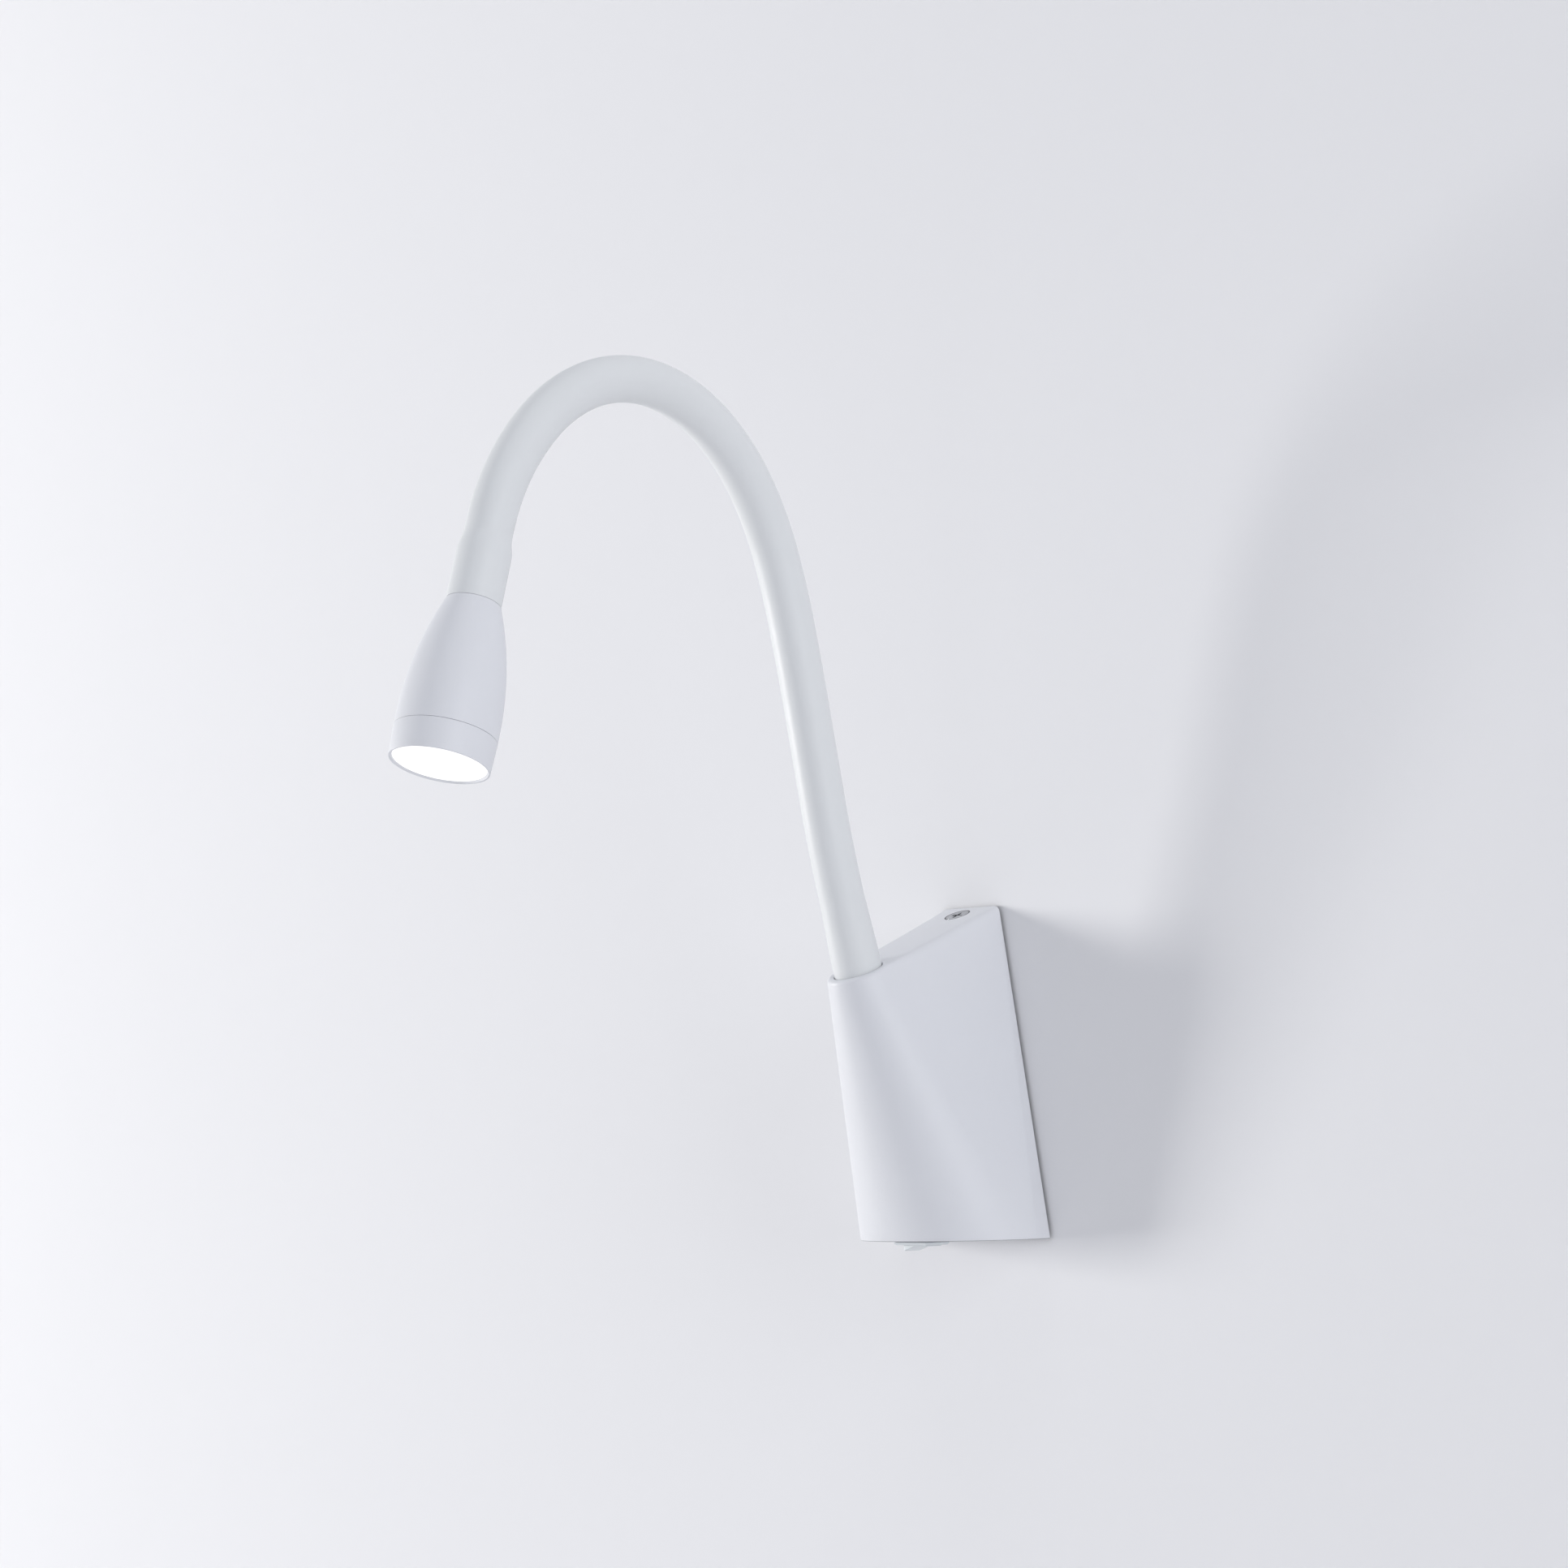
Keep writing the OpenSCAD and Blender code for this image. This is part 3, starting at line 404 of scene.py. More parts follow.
def opal_lens():
    """Lit diffuser: the glow falls off a little towards its rim, by the distance from the middle of the mouth."""
    material = coated("opal_lens", (0.6, 0.6, 0.59), 0.3, 0.4, spread=0.02)
    tree = material.node_tree
    surface = tree.nodes["Principled BSDF"]
    away = node(tree, "ShaderNodeVectorMath", operation="DISTANCE")
    away.inputs[1].default_value = tuple(placed(HEAD_FRAME, [[0, 0, MOUTH_T]])[0] * MM)
    tree.links.new(object_place(tree), away.inputs[0])
    fall = map_range(tree, away.outputs["Value"], (0.008, 0.0138), (1.0, 0.9), interpolation_type="SMOOTHSTEP")
    glow = node(tree, "ShaderNodeVectorMath", operation="SCALE")
    glow.inputs[0].default_value = (1.0, 0.99, 0.97)
    tree.links.new(fall.outputs["Result"], glow.inputs["Scale"])
    tree.links.new(glow.outputs[0], surface.inputs["Emission Color"])
    surface.inputs["Emission Strength"].default_value = 0.8
    return material


def spangled_zinc():
    """Galvanised sheet: crystal cells shift the tone from one to the next."""
    material = coated("spangled_zinc", (0.6, 0.61, 0.62), 0.32, 0.48, spread=0.12, scale=40.0, bump=0.04, Metallic=1.0)
    tree = material.node_tree
    cells = node(tree, "ShaderNodeTexVoronoi", Scale=230.0)
    tree.links.new(object_place(tree), cells.inputs["Vector"])
    bright = node(tree, "ShaderNodeSeparateColor")
    tree.links.new(cells.outputs["Color"], bright.inputs["Color"])
    return mixed_base(material, bright.outputs["Red"], (0.5, 0.51, 0.53), (0.68, 0.69, 0.7))


def sleeve_rubber():
    """Silicone sleeve: mottled tone with faint streaks that run along the neck, on the sleeve's own UV map."""
    material = coated("sleeve_silicone", (0.722, 0.737, 0.744), 0.42, 0.54, spread=0.035, scale=45.0, peel=1500.0,
                      bump=0.05)
    tree = material.node_tree
    skin = next(n for n in tree.nodes if n.type == "BUMP")
    own = node(tree, "ShaderNodeUVMap", uv_map="along")
    stretch = node(tree, "ShaderNodeMapping", Scale=(40.0, 6.0, 1.0))
    streak = node(tree, "ShaderNodeTexNoise", Scale=1.0, Detail=2.0)
    tree.links.new(own.outputs["UV"], stretch.inputs["Vector"])
    tree.links.new(stretch.outputs["Vector"], streak.inputs["Vector"])
    relief = node(tree, "ShaderNodeBump", Strength=0.05, Distance=0.1 * MM)
    tree.links.new(streak.outputs["Fac"], relief.inputs["Height"])
    tree.links.new(skin.outputs["Normal"], relief.inputs["Normal"])
    tree.links.new(relief.outputs["Normal"], tree.nodes["Principled BSDF"].inputs["Normal"])
    return material


def screw_plate():
    """Plated screw with painted shade in its cross recess: the tone darkens to near black by the depth under the
    sloped top.
    """
    material = coated("screw_plate", (0.4, 0.41, 0.43), 0.18, 0.28, spread=0.12, scale=160.0, bump=0.04, Metallic=1.0)
    tree = material.node_tree
    from_face = node(tree, "ShaderNodeVectorMath", operation="SUBTRACT")
    from_face.inputs[1].default_value = (0, 0, BLOCK_TOP * MM)
    height = node(tree, "ShaderNodeVectorMath", operation="DOT_PRODUCT")
    height.inputs[1].default_value = tuple(SLOPE_NORMAL)
    tree.links.new(object_place(tree), from_face.inputs[0])
    tree.links.new(from_face.outputs[0], height.inputs[0])
    # painted shade: near black deeper in the cross recess
    recess_shade = map_range(tree, height.outputs["Value"], (-0.2 * MM, -0.9 * MM))
    return mixed_base(material, recess_shade.outputs["Result"], tone_of(tree), (0.02, 0.02, 0.022))


def printed_board(name, resist, track):
    """Circuit board: a brick pattern of tracks shows through the solder resist."""
    material = coated(name, resist, 0.3, 0.42, spread=0.1)
    tree = material.node_tree
    tracks = node(tree, "ShaderNodeTexBrick", Scale=380.0)
    tracks.inputs["Mortar Size"].default_value = 0.06
    tree.links.new(object_place(tree), tracks.inputs["Vector"])
    return mixed_base(material, tracks.outputs["Fac"], tone_of(tree), track)


def striped_insulation():
    """Earth lead: green insulation with a yellow stripe wound along it."""
    material = coated("earth_insulation", (0.12, 0.32, 0.05), 0.4, 0.5)
    tree = material.node_tree
    bands = node(tree, "ShaderNodeTexWave", Scale=90.0, bands_direction="DIAGONAL")
    tree.links.new(object_place(tree), bands.inputs["Vector"])
    return mixed_base(material, bands.outputs["Fac"], tone_of(tree), (0.75, 0.6, 0.05))


FINISH = {
    "housing": powder_coat(),
    "sleeve": sleeve_rubber(),
    "core": coated("wound_steel", (0.3, 0.3, 0.31), 0.3, 0.45, spread=0.2, Metallic=1.0),
    "plated": coated("zinc_plate", (0.46, 0.47, 0.49), 0.26, 0.4, spread=0.15, scale=160.0, bump=0.05, Metallic=1.0),
    "brass": coated("turned_brass", (0.74, 0.54, 0.22), 0.25, 0.38, spread=0.12, scale=120.0, bump=0.05, Metallic=1.0),
    "bracket": spangled_zinc(),
    "moulding": coated("driver_moulding", (0.72, 0.72, 0.69), 0.45, 0.56, spread=0.05, peel=1600.0),
    "switch": coated("switch_moulding", (0.70, 0.735, 0.75), 0.3, 0.4, spread=0.03, peel=1800.0, bump=0.04),
    "board": printed_board("green_board", (0.03, 0.16, 0.07), (0.07, 0.28, 0.1)),
    "board_white": printed_board("white_board", (0.75, 0.75, 0.73), (0.62, 0.62, 0.6)),
    "parts": coated("dark_components", (0.03, 0.03, 0.035), 0.35, 0.5, spread=0.2),
    "emitter": coated("phosphor", (0.85, 0.62, 0.12), 0.5, 0.6, spread=0.1, scale=300.0),
    "carrier": coated("bare_aluminium", (0.6, 0.6, 0.61), 0.3, 0.42, spread=0.12, scale=140.0, Metallic=1.0),
    "reflector": coated("bright_plate", (0.86, 0.86, 0.86), 0.08, 0.14, spread=0.04, bump=0.03, Metallic=1.0),
    "seal": coated("grey_silicone", (0.5, 0.5, 0.49), 0.5, 0.6),
    "lens": opal_lens(),
    "lead_brown": coated("brown_insulation", (0.1, 0.035, 0.015), 0.4, 0.5),
    "lead_blue": coated("blue_insulation", (0.02, 0.09, 0.35), 0.4, 0.5),
    "lead_green": striped_insulation(),
    "lead_grey": coated("grey_insulation", (0.06, 0.06, 0.065), 0.4, 0.5),
}
NODE_SLOT = {part["node"]: part["material_slot"] for part in frame["record"]["subparts"]}


def dress(piece, slot):
    """Gives a piece its slot's finish."""
    piece.data.materials.clear()
    piece.data.materials.append(FINISH[slot])
    return piece


for name, solid in NODES.items():
    solid.data.materials.clear()
    solid.data.materials.append(FINISH[NODE_SLOT[name]])


# Wall block

def foot_outline(inset):
    """Outline of the foot from one wall corner round the front to the other: short straight sides and an arc."""
    a = np.radians(np.linspace(180, 360, 181))
    r = FOOT_R - inset
    arc = np.stack([r * np.cos(a), -FOOT_ARC_Y + r * np.sin(a)], -1)
    side = np.linspace([-(FOOT_HALF - inset), -WALL_GAP], arc[0], 9)[:-1]
    return np.concatenate([side, arc, (side * [-1, 1])[::-1]])


def top_outline(inset):
    """Outline of the sloped top, in the slope's own plane: straight sides that touch the round nose, as x and the
    distance from the wall measured down the slope."""
    corner = np.array([TOP_HALF - inset, -WALL_GAP / np.cos(SLOPE_ANGLE)])
    centre = np.array([0, -NOSE_Y / np.cos(SLOPE_ANGLE)])
    r = NOSE_R - inset
    reach = corner - centre
    touch = np.arctan2(reach[1], reach[0]) - np.arccos(r / np.hypot(*reach))
    a = np.linspace(np.pi - touch, 2 * np.pi + touch, 121)
    arc = centre + r * np.stack([np.cos(a), np.sin(a)], -1)
    side = np.linspace(corner * [-1, 1], arc[0], 41)[:-1]
    return np.concatenate([side, arc, (side * [-1, 1])[::-1]])


def on_slope(flat, drop=0.0):
    """Points of the slope's plane in space, drop millimetres under the top face along its normal."""
    flat = np.asarray(flat, float)
    x, s = flat[..., 0], flat[..., 1]
    sin, cos = np.sin(SLOPE_ANGLE), np.cos(SLOPE_ANGLE)
    return np.stack([x, s * cos + drop * sin, BLOCK_TOP + s * sin - drop * cos], -1)


def at_height(flat, z):
    """Points of a level plane in space."""
    return np.c_[flat, np.full(len(flat), z)]


def outward(line):
    """Outward unit normals of an open plane outline that runs anticlockwise seen from above."""
    t = np.gradient(line, axis=0)
    n = np.stack([t[:, 1], -t[:, 0]], -1)
    return n / np.linalg.norm(n, axis=1, keepdims=True)


def rulings(foot, top):
    """Pairs of foot and top points that share a touching plane: at each foot point the plane that holds its tangent
    leans out until it meets the top outline. Both indices then run on one step at a time."""
    normal = np.c_[outward(foot[:, :2]), np.zeros(len(foot))]
    reach = top[None] - foot[:, None]
    lean = (reach * normal[:, None]).sum(-1) / reach[..., 2]
    partner = np.maximum.accumulate(lean.argmax(1))
    partner[0], partner[-1] = 0, len(top) - 1
    jump = np.diff(partner, prepend=0)
    foot_at = np.repeat(np.arange(len(foot)), jump + 1)
    order = np.arange(len(foot_at)) - np.repeat(np.cumsum(jump + 1) - (jump + 1), jump + 1)
    return foot_at, np.repeat(partner - jump, jump + 1) + order


def eased(first, corner, last, count):
    """A rounded corner: a quadratic curve from first to last that leans on the corner point."""
    u = np.linspace(0, 1, count)[:, None, None]
    return (1 - u) ** 2 * first + 2 * u * (1 - u) * corner + u ** 2 * last


def ring(radius, count):
    """Points of a circle in its own plane."""
    a = np.linspace(0, 2 * np.pi, count, endpoint=False)
    return np.stack([radius * np.cos(a), radius * np.sin(a)], -1)


def nose_ring(radius, t):
    """A ring about the nose axis, t along it from the top face."""
    return placed(NOSE_FRAME, at_height(ring(radius, NOSE_AROUND), t))


def nose_mouth(radius, drop=0.0):
    """Where a cylinder about the nose axis meets the slope's plane, or a plane just under it."""
    start, along = nose_ring(radius, 0.0), NOSE_FRAME[:3, 2]
    height = (start - [0, 0, BLOCK_TOP]) @ SLOPE_NORMAL + drop
    return start - along * (height / (along @ SLOPE_NORMAL))[:, None]


def to_slope(points):
    """Points on the slope's plane as x and distance down the slope."""
    return np.stack([points[:, 0], points[:, 1] / np.cos(SLOPE_ANGLE)], -1)


def wall_rows(seat_at):
    """Shares of the way up the hollow's wall: even rows up to the seat's underside, then even rows up to the roof."""
    return np.r_[np.linspace(0, seat_at, SEAT_ROWS), np.linspace(seat_at, 1, ROOF_ROWS + 1)[1:]]


def build_block():
    """Housing: ruled sides between the foot and the sloped top with rounded edges, the flat top and foot with their
    holes, the hollow inside and the rim at the wall."""
    body = Surface()
    foot2, top2 = foot_outline(0), top_outline(0)
    top_ease = np.interp(top2[:, 1], TOP_EASE_AT, TOP_EASE)[:, None]
    foot_face2, top_face2 = foot2 - FOOT_EASE * outward(foot2), top2 - top_ease * outward(top2)
    foot, top = at_height(foot2, BLOCK_LOW), on_slope(top2)
    i, j = rulings(foot, top)
    f, g = foot[i], top[j]
    up = (g - f) / np.linalg.norm(g - f, axis=1, keepdims=True)
    foot_in, top_in = at_height(foot_face2, BLOCK_LOW)[i], on_slope(top_face2)[j]
    low, high = f + FOOT_EASE * up, g - top_ease[j] * up
    rise = np.linspace(0, 1, SIDE_ROWS)[:, None, None]
    side = low * (1 - rise) + high * rise
    skin = np.concatenate([eased(foot_in, f, low, FOOT_ROWS)[:-1], side, eased(high, g, top_in, TOP_ROWS)[1:]])
    # The lowest rows of the foot's rounded edge are painted dark as shade, a dark line along the foot
    body.grid(skin[:DARK_ROWS + 1], bare=IN_SHADE)
    body.grid(skin[DARK_ROWS:])

    # Flat top with the nose's mouth and the screw's countersink
    mouth = nose_mouth(NOSE_MOUTH_R + MOUTH_RIM)
    screw_at = np.array([0, -SCREW_Y / np.cos(SLOPE_ANGLE)])
    sink, hole = ring(SCREW_SINK_R, SCREW_AROUND) + screw_at, ring(SCREW_HOLE_R, SCREW_AROUND) + screw_at
    body.add(*flat_fill(top_face2, [to_slope(mouth), sink], on_slope))
    turn = np.radians(np.linspace(0, 90, 6))
    bore = [nose_mouth(NOSE_MOUTH_R + MOUTH_RIM * (1 - np.sin(a)), MOUTH_RIM * (1 - np.cos(a))) for a in turn]
    bore += [nose_ring(radius, t) for radius, t in (
        (NOSE_MOUTH_R, MOUTH_LOW), (NOSE_HOLE_R, SEAT_HIGH), (NOSE_HOLE_R, -SEAT_DEPTH), (STUB_HOLE_R, -SEAT_DEPTH),
        (STUB_HOLE_R, SHELF_LOW))]
    body.grid(np.stack(bore), wrap_cols=True)
    drill = [on_slope(sink), on_slope(hole, SCREW_SINK_H), on_slope(hole, SHELL_WALL)]
    # The drill's wall is dark bare metal, also painted shade in the hole
    body.grid(np.stack(drill), wrap_cols=True, bare=CAST_AND_SHADE)

    # Flat foot with the switch's cut-out
    floor_z = BLOCK_LOW + SHELL_WALL
    half = np.array([CUT_L / 2, CUT_W / 2])
    cut = np.array([[-1, -1], [1, -1], [1, 1], [-1, 1]]) * half - [0, SWITCH_Y]
    body.add(*flat_fill(foot_face2, [cut], lambda p: at_height(p, BLOCK_LOW)))
    # The cut-out's wall is dark bare metal, also painted shade in the cut-out
    body.grid(np.stack([at_height(cut, z) for z in (BLOCK_LOW, floor_z)]), wrap_cols=True, bare=CAST_AND_SHADE)

    # Hollow: the same ruled form drawn in by the wall, with its floor and roof
    # The hollow is dark bare metal, also painted shade seen through the gap at the wall
    inner_foot2, inner_top2 = foot_outline(SHELL_WALL), top_outline(SHELL_WALL)
    inner_foot, inner_top = at_height(inner_foot2, floor_z), on_slope(inner_top2, SHELL_WALL)
    m, n = rulings(inner_foot, inner_top)
    f_in, g_in = inner_foot[m], inner_top[n]
    under_seat = np.flatnonzero(g_in[:, 1] < SEAT_BACK_Y)
    first, last = under_seat[0] - 1, under_seat[-1] + 1
    axis = NOSE_FRAME[:3, 2]
    share = ((NOSE_FRAME[:3, 3] + SHELF_LOW * axis - f_in) @ axis) / ((g_in - f_in) @ axis)
    for columns, at in ((slice(0, first + 1), share[first]), (slice(last, None), share[last])):
        u = wall_rows(at)[:, None, None]
        body.grid(f_in[columns] * (1 - u) + g_in[columns] * u, bare=CAST_AND_SHADE)
    body.add(*flat_fill(inner_foot2, [cut], lambda p: at_height(p, floor_z)), bare=CAST_AND_SHADE)
    roof2 = np.concatenate([inner_top2[:n[first] + 1], inner_top2[n[last]:]])
    body.add(*flat_fill(roof2, [hole], lambda p: on_slope(p, SHELL_WALL)), bare=CAST_AND_SHADE)

    # Seat under the nose: the hollow's wall ends at its underside, and its back goes up to the roof
    columns = slice(first, last + 1)
    u = (np.linspace(0, 1, SEAT_ROWS)[:, None] * share[columns])[..., None]
    seat_wall = f_in[columns] * (1 - u) + g_in[columns] * u
    body.grid(seat_wall, bare=CAST_AND_SHADE)
    back_edges = [f_in[k] + wall_rows(share[k])[SEAT_ROWS - 1:, None] * (g_in[k] - f_in[k]) for k in (first, last)]
    body.grid(np.stack(back_edges, 1), bare=CAST_AND_SHADE)
    seat2 = ((seat_wall[-1] - NOSE_FRAME[:3, 3]) @ NOSE_FRAME[:3, :3])[:, :2]
    body.add(*flat_fill(seat2, [ring(STUB_HOLE_R, NOSE_AROUND)],
                        lambda p: placed(NOSE_FRAME, at_height(p, SHELF_LOW))), bare=CAST_AND_SHADE)

    # Rim at the wall: outer edge to inner edge, and the strips of the foot and the top
    # The rim is dark bare metal, also painted shade: a dark line in the gap at the wall
    for column, at in ((0, share[first]), (-1, share[last])):
        into = f_in[column] + wall_rows(at)[:, None] * (g_in[column] - f_in[column])
        body.grid(np.stack([skin[:, column], into]), bare=CAST_AND_SHADE)
    for outer, inner in ((foot_in, inner_foot), (top_in, inner_top)):
        body.add([outer[0], outer[-1], inner[-1], inner[0]], [[0, 1, 2, 3]], bare=CAST_AND_SHADE)
    return body.piece("block_housing", sharp=28.0)


block = dress(build_block(), "housing")
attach(block, "block")
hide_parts("block_shell")


# Neck sleeve

def sleeve_radius(s):
    """Outer radius along the neck: it narrows evenly above the nose, and a smooth shoulder swells it at the head."""
    near = np.interp(s, [TAPER_FROM, TAPER_TO], [NECK_START_R, NECK_R])
    u = np.clip((s - SHOULDER_AT) / SHOULDER_L, 0, 1)
    return np.maximum(near, NECK_R + (NECK_END_R - NECK_R) * u * u * (3 - 2 * u))


def sleeve_piece(name, first, last):
    """A stretch of the sleeve as a closed tube: rings run along its outside and back along its inside, and the UV map
    holds the turn round the neck and the length along it."""
    around = SLEEVE_AROUND
    s = np.linspace(first, last, int((last - first) / SLEEVE_STEP))
    bore = np.where((s < BASE_CUP_END) | (s > HEAD_CUP_START), CUP_ROOM_R, CORE_ROOM_R)
    r = np.r_[sleeve_radius(s), bore[::-1]]
    s = np.r_[s, s[::-1]]
    point, across, over = neck_line(s)
    a = np.linspace(0, 2 * np.pi, around, endpoint=False)
    spokes = np.cos(a)[None, :, None] * across[:, None] + np.sin(a)[None, :, None] * over[:, None]
    rings = point[:, None] + r[:, None, None] * spokes
    piece = make_piece(name, rings.reshape(-1, 3), grid_faces(len(s), around, True, True), sharp=40.0)
    mesh = piece.data
    corner = np.zeros(len(mesh.loops), int)
    mesh.loops.foreach_get("vertex_index", corner)
    col, row = corner % around, corner // around
    face = np.repeat(np.arange(len(mesh.polygons)), 4)
    base = np.minimum.reduceat(col, np.arange(0, len(col), 4))[face]
    top = np.maximum.reduceat(col, np.arange(0, len(col), 4))[face]
    turn = np.where((top - base > around // 2) & (col == 0), around, col) / around
    in_decimetres = 10 * MM
    uv = np.stack([turn, s[row] * in_decimetres], -1)
    layer = mesh.uv_layers.new(name="along")
    layer.data.foreach_set("uv", uv.astype(np.float32).ravel())
    return piece


middles = (BENDS[:-1] + BENDS[1:]) / 2
sleeve_ends = np.r_[SLEEVE_START, middles, NECK_LENGTH - SLEEVE_SHORT]
for k in range(1, LINKS + 1):
    piece = dress(sleeve_piece("sleeve_%d" % k, sleeve_ends[k - 1], sleeve_ends[k]), "sleeve")
    reach = BEND_SHARE * np.array([-NECK_RUNS[k - 1], NECK_RUNS[k]])
    bend_ends, _, _ = neck_line(BENDS[k - 1] + reach)
    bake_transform(piece)
    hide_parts(*(["neck_sleeve_base"] if k == 1 else []), "neck_sleeve_%d" % k)


# Lamp head

def rounded(corners):
    """A closed profile whose corners, given as radius, height and rounding, are cut back and eased by a quadratic."""
    c = np.array(corners, float)
    p, ease = c[:, :2], c[:, 2:]
    before, after = np.roll(p, 1, 0) - p, np.roll(p, -1, 0) - p
    first = p + ease * before / np.linalg.norm(before, axis=1, keepdims=True)
    last = p + ease * after / np.linalg.norm(after, axis=1, keepdims=True)
    u = np.linspace(0, 1, 5)[None, :, None]
    curve = (1 - u) ** 2 * first[:, None] + 2 * u * (1 - u) * p[:, None] + u ** 2 * last[:, None]
    return curve.reshape(-1, 2)


def spun(name, profile):
    """A closed profile of radius and height turned about the head's axis."""
    a = np.linspace(0, 2 * np.pi, HEAD_AROUND, endpoint=False)
    r, z = profile[:, :1], profile[:, 1:]
    points = np.stack([r * np.cos(a), r * np.sin(a), z + 0 * a], -1)
    return make_piece(name, placed(HEAD_FRAME, points.reshape(-1, 3)),
                      grid_faces(len(profile), HEAD_AROUND, True, True), sharp=30.0)


def head_curve(inset, first, last, count):
    """The head's bulged side: an arc that ends parallel to the axis at the skirt, drawn in by inset."""
    rise = HEAD_R - NECK_END_R
    radius = (HEAD_ARC_L ** 2 + rise ** 2) / (2 * rise)
    t = np.linspace(first, last, count)
    over = np.sqrt((radius - inset) ** 2 - (HEAD_ARC_L - np.minimum(t, HEAD_ARC_L)) ** 2)
    return np.stack([HEAD_R - radius + over, t], -1)


def build_head():
    """Head: the bulged side outside and inside, turned over at the seam and at the sleeve's end."""
    outside = head_curve(0, COLLAR_EASE, SEAM_T - SEAM_HALF, 60)
    within = head_curve(HEAD_WALL, SEAM_T, THROAT_L, 40)
    lip = np.array([[HEAD_R - LIP_EASE, SEAM_T - LIP_EASE], [HEAD_R - LIP_IN, SEAM_T]])
    throat = np.array([[THROAT_R, THROAT_L], [THROAT_R, 0.0], [NECK_END_R - COLLAR_EASE, 0.0],
                       [NECK_END_R - LIP_EASE, LIP_EASE]])
    return spun("head_housing", np.concatenate([outside, lip, within, throat]))


def build_bezel():
    """Bezel: a spigot inside the head, the seam, the outside that narrows to the mouth, and the lens's pocket."""
    seam = SEAM_T + SEAM_HALF
    return spun("mouth_bezel", rounded([
        [BEZEL_IN_R, SPIGOT_T, 0.1], [SPIGOT_R, SPIGOT_T, 0.1], [SPIGOT_R, seam, 0.0], [HEAD_R, seam, 0.1],
        [HEAD_R - RIM_TAPER, MOUTH_T, 0.2], [RIM_R, MOUTH_T, 0.12], [POCKET_R, MOUTH_T - RIM_DROP, 0.12],
        [POCKET_R, SEAT_T, 0.0], [BEZEL_IN_R, SEAT_T, 0.1]]))


def build_lens():
    """Diffuser: a flat disc whose upper edge is rounded over by a quarter of an ellipse."""
    a = np.radians(np.linspace(0, 90, 9))
    crown = np.stack([LENS_FLAT_R + (LENS_R - LENS_FLAT_R) * np.cos(a), LENS_FACE + LENS_CROWN * np.sin(a)], -1)
    under = [[0.0, LENS_LOW], [LENS_R, LENS_LOW]]
    face = [[r, LENS_FACE + LENS_CROWN] for r in (9.0, 4.0, 0.0)]
    return spun("opal_diffuser", np.concatenate([under, crown, face]))


for build, slot, stands_for in ((build_head, "housing", "head_shell"), (build_bezel, "housing", "front_bezel"),
                                (build_lens, "lens", "lens")):
    piece = dress(build(), slot)
    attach(piece, "neck_12")
    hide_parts(stands_for)


# Small fittings with softened edges

def flange_slot(points):
    """The switch's flange let down a little round its body, so that a dark slot shows under the foot."""
    x, y, z = np.abs(points[:, 0]) / MM, np.abs(points[:, 1] / MM + SWITCH_Y), points[:, 2] / MM
    rim = (np.abs(z - BLOCK_LOW) < TOUCHING) & ((x > CUT_L / 2) | (y > CUT_W / 2))
    points[rim, 2] -= FLANGE_DROP * MM
    return points


def softened(solid_name, width, reshape=None):
    """A copy of a solid with its doubles joined, its flat faces made whole and its edges bevelled."""
    corner = np.radians(35)
    mesh = NODES[solid_name].data.copy()
    if reshape:
        points = np.zeros(len(mesh.vertices) * 3)
        mesh.vertices.foreach_get("co", points)
        mesh.vertices.foreach_set("co", reshape(points.reshape(-1, 3)).ravel())
    mesh.name = solid_name + "_soft"
    bm = bmesh.new()
    bm.from_mesh(mesh)
    bmesh.ops.remove_doubles(bm, verts=bm.verts, dist=MERGE * MM)
    bmesh.ops.dissolve_limit(bm, angle_limit=np.radians(1.0), verts=bm.verts, edges=bm.edges)
    bm.to_mesh(mesh)
    bm.free()
    if mesh.has_custom_normals:
        mesh.attributes.remove(mesh.attributes["custom_normal"])
    mesh.polygons.foreach_set("use_smooth", np.ones(len(mesh.polygons), bool))
    mesh.set_sharp_from_angle(angle=corner)
    piece = bpy.data.objects.new(solid_name + "_soft", mesh)
    bpy.context.scene.collection.objects.link(piece)
    bevel = piece.modifiers.new("edges", "BEVEL")
    bevel.width, bevel.segments = width * MM, 2
    bevel.limit_method, bevel.angle_limit = "ANGLE", corner
    bevel.harden_normals = True
    return piece


for solid_name, width, body, reshape in (
        ("switch_housing", 0.15, "block", flange_slot), ("switch_rocker", 0.35, "rocker", None),
        ("cover_screw", 0.15, "block", None), ("wall_bracket", 0.15, "block", None)):
    piece = dress(softened(solid_name, width, reshape=reshape), NODE_SLOT[solid_name])
    if solid_name == "cover_screw":
        piece.data.materials[0] = screw_plate()
    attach(piece, body)
    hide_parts(solid_name)


# Wall, floor, light and camera, in metres

ROOM, WALL_Y, FLOOR_Y, FLOOR_Z, NEAR_RAY = 6, 0.0002, -8, -1.4, 0.0007


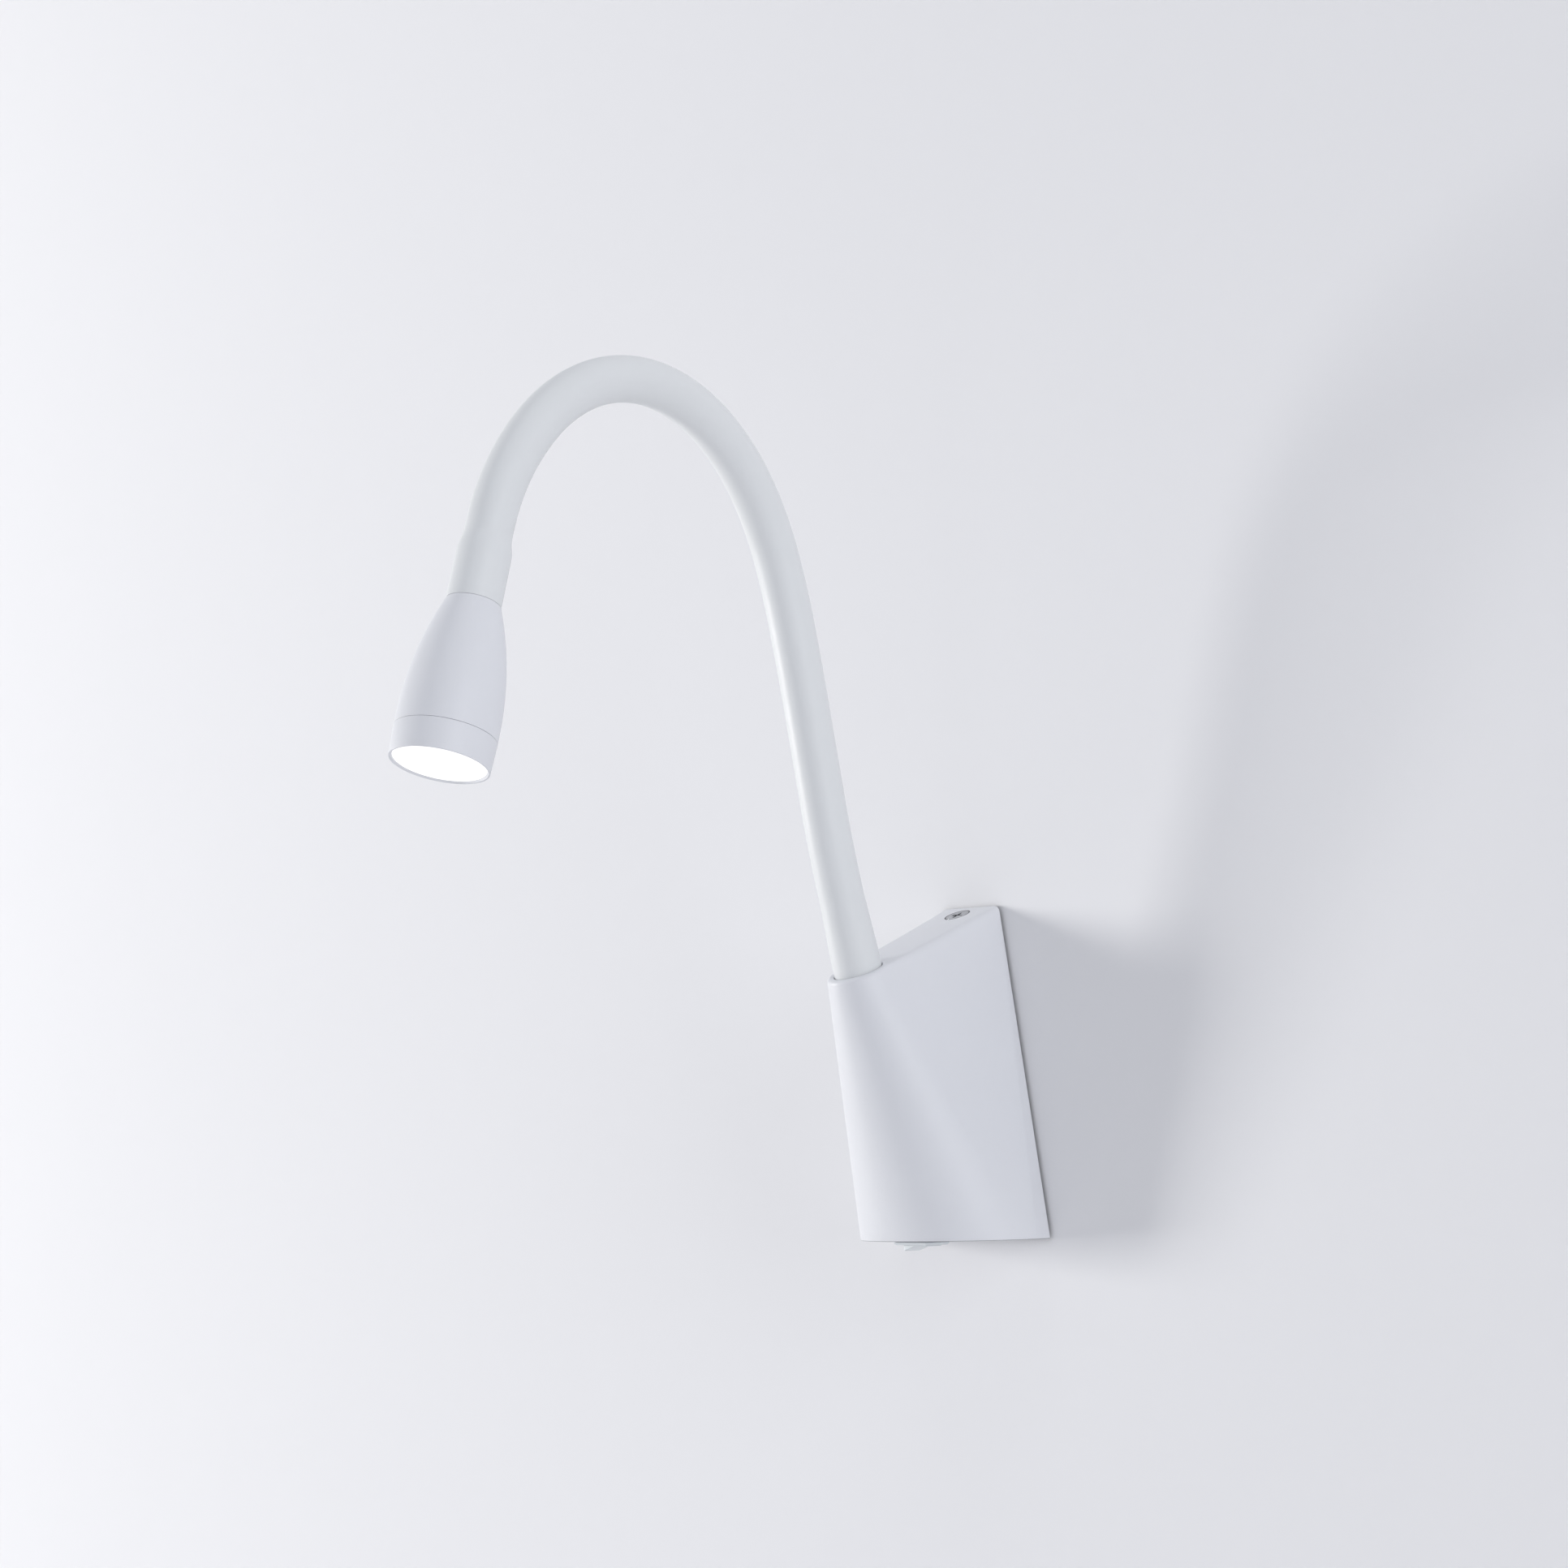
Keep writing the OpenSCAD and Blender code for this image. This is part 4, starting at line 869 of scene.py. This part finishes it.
def backdrop(name, corners, color):
    """A plain pale plane that is clear from behind, and clear to rays that start right in front of it, so that the
    lamp's back can be seen and lit from the wall's side."""
    mesh = bpy.data.meshes.new(name)
    mesh.from_pydata(corners, [], [[0, 1, 2, 3]])
    plane = bpy.data.objects.new(name, mesh)
    bpy.context.scene.collection.objects.link(plane)
    material = bpy.data.materials.new(name)
    material.use_nodes = True
    tree = material.node_tree
    surface = tree.nodes["Principled BSDF"]
    tone = place_group(tree, MOTTLE, Color=(*color, 1), Spread=0.02, Scale=3.0, Smooth=0.85, Rough=0.95)
    tree.links.new(tone.outputs["Color"], surface.inputs["Base Color"])
    tree.links.new(tone.outputs["Roughness"], surface.inputs["Roughness"])
    clear = node(tree, "ShaderNodeBsdfTransparent")
    behind = node(tree, "ShaderNodeNewGeometry").outputs["Backfacing"]
    ray = node(tree, "ShaderNodeLightPath").outputs["Ray Length"]
    mix = node(tree, "ShaderNodeMixShader")
    tree.links.new(maths(tree, "MAXIMUM", maths(tree, "LESS_THAN", ray, NEAR_RAY), behind), mix.inputs[0])
    tree.links.new(surface.outputs[0], mix.inputs[1])
    tree.links.new(clear.outputs[0], mix.inputs[2])
    tree.links.new(mix.outputs[0], tree.nodes["Material Output"].inputs["Surface"])
    mesh.materials.append(material)


for name, corners in (
        ("plain_wall", [(-ROOM, WALL_Y, FLOOR_Z), (ROOM, WALL_Y, FLOOR_Z), (ROOM, WALL_Y, ROOM),
                        (-ROOM, WALL_Y, ROOM)]),
        ("plain_floor", [(-ROOM, FLOOR_Y, FLOOR_Z), (ROOM, FLOOR_Y, FLOOR_Z), (ROOM, WALL_Y, FLOOR_Z),
                         (-ROOM, WALL_Y, FLOOR_Z)])):
    backdrop(name, corners, (0.792, 0.792, 0.807))


def area_light(name, place, target, size, power, color):
    """A square light panel at a place, aimed at a target."""
    data = bpy.data.lights.new(name, "AREA")
    data.shape, data.size, data.energy, data.color = "SQUARE", size, power, color
    lamp = bpy.data.objects.new(name, data)
    bpy.context.scene.collection.objects.link(lamp)
    aim = Vector(target) - Vector(place)
    lamp.matrix_world = Matrix.Translation(place) @ aim.to_track_quat("-Z", "Y").to_matrix().to_4x4()


area_light("key_light", (-2.2, -1.22, 0.07), (0, -0.03, 0.0), 0.64, 38.8, (1.0, 0.985, 0.955))
area_light("right_panel", (3.2, -0.6, 0.8), (0, -0.05, 0.05), 2.1, 42.8, (0.97, 0.98, 1.0))
area_light("low_panel", (0.4, -1.3, -1.2), (0, -0.05, 0.0), 1.2, 1.2, (1.0, 1.0, 1.0))
area_light("top_panel", (0.2, -0.5, 1.8), (0, -0.05, 0.05), 1.0, 2.55, (1.0, 1.0, 1.0))


def pale_room():
    """World: a soft light for all surfaces, and a plain pale tone where it is seen, mirrored or looked through."""
    world = bpy.data.worlds.new("pale_room")
    world.use_nodes = True
    tree = world.node_tree
    sky = tree.nodes["Background"]
    sky.inputs["Color"].default_value, sky.inputs["Strength"].default_value = (0.9, 0.925, 1.0, 1), 0.545
    plain = node(tree, "ShaderNodeBackground", Color=(0.86, 0.88, 0.92, 1), Strength=1.0)
    path = node(tree, "ShaderNodeLightPath").outputs
    mirrored = maths(tree, "MAXIMUM", path["Is Glossy Ray"], path["Is Transmission Ray"])
    choose = node(tree, "ShaderNodeMixShader")
    tree.links.new(maths(tree, "MAXIMUM", path["Is Camera Ray"], mirrored), choose.inputs[0])
    tree.links.new(sky.outputs[0], choose.inputs[1])
    tree.links.new(plain.outputs[0], choose.inputs[2])
    tree.links.new(choose.outputs[0], tree.nodes["World Output"].inputs["Surface"])
    return world


def photo_camera():
    """Camera at the photograph's angle: azimuth, elevation and roll give its axes, and the origin's offset in the
    image gives its place. The offset and the focal length are in pixels of the photograph."""
    pixels, sensor, focal = 1932.0, 36.0, 5000.0
    azimuth, elevation, roll = np.radians([46.075, -4.979, 1.118])
    distance, offset = 1.28874, np.array([236.668, 354.531])
    back = np.array([np.sin(azimuth) * np.cos(elevation), -np.cos(azimuth) * np.cos(elevation), np.sin(elevation)])
    flat_right = np.array([np.cos(azimuth), np.sin(azimuth), 0])
    flat_up = np.cross(back, flat_right)
    right = np.cos(roll) * flat_right - np.sin(roll) * flat_up
    up = np.sin(roll) * flat_right + np.cos(roll) * flat_up
    place = -offset[0] * distance / focal * right + offset[1] * distance / focal * up + distance * back
    data = bpy.data.cameras.new("photo_camera")
    data.sensor_width, data.lens = sensor, focal * sensor / pixels
    camera = bpy.data.objects.new("photo_camera", data)
    matrix = np.eye(4)
    matrix[:3, 0], matrix[:3, 1], matrix[:3, 2], matrix[:3, 3] = right, up, back, place
    camera.matrix_world = Matrix(matrix.tolist())
    bpy.context.scene.collection.objects.link(camera)
    return camera


bpy.context.scene.world = pale_room()
bpy.context.scene.camera = photo_camera()
bpy.context.scene.view_settings.view_transform = "Standard"
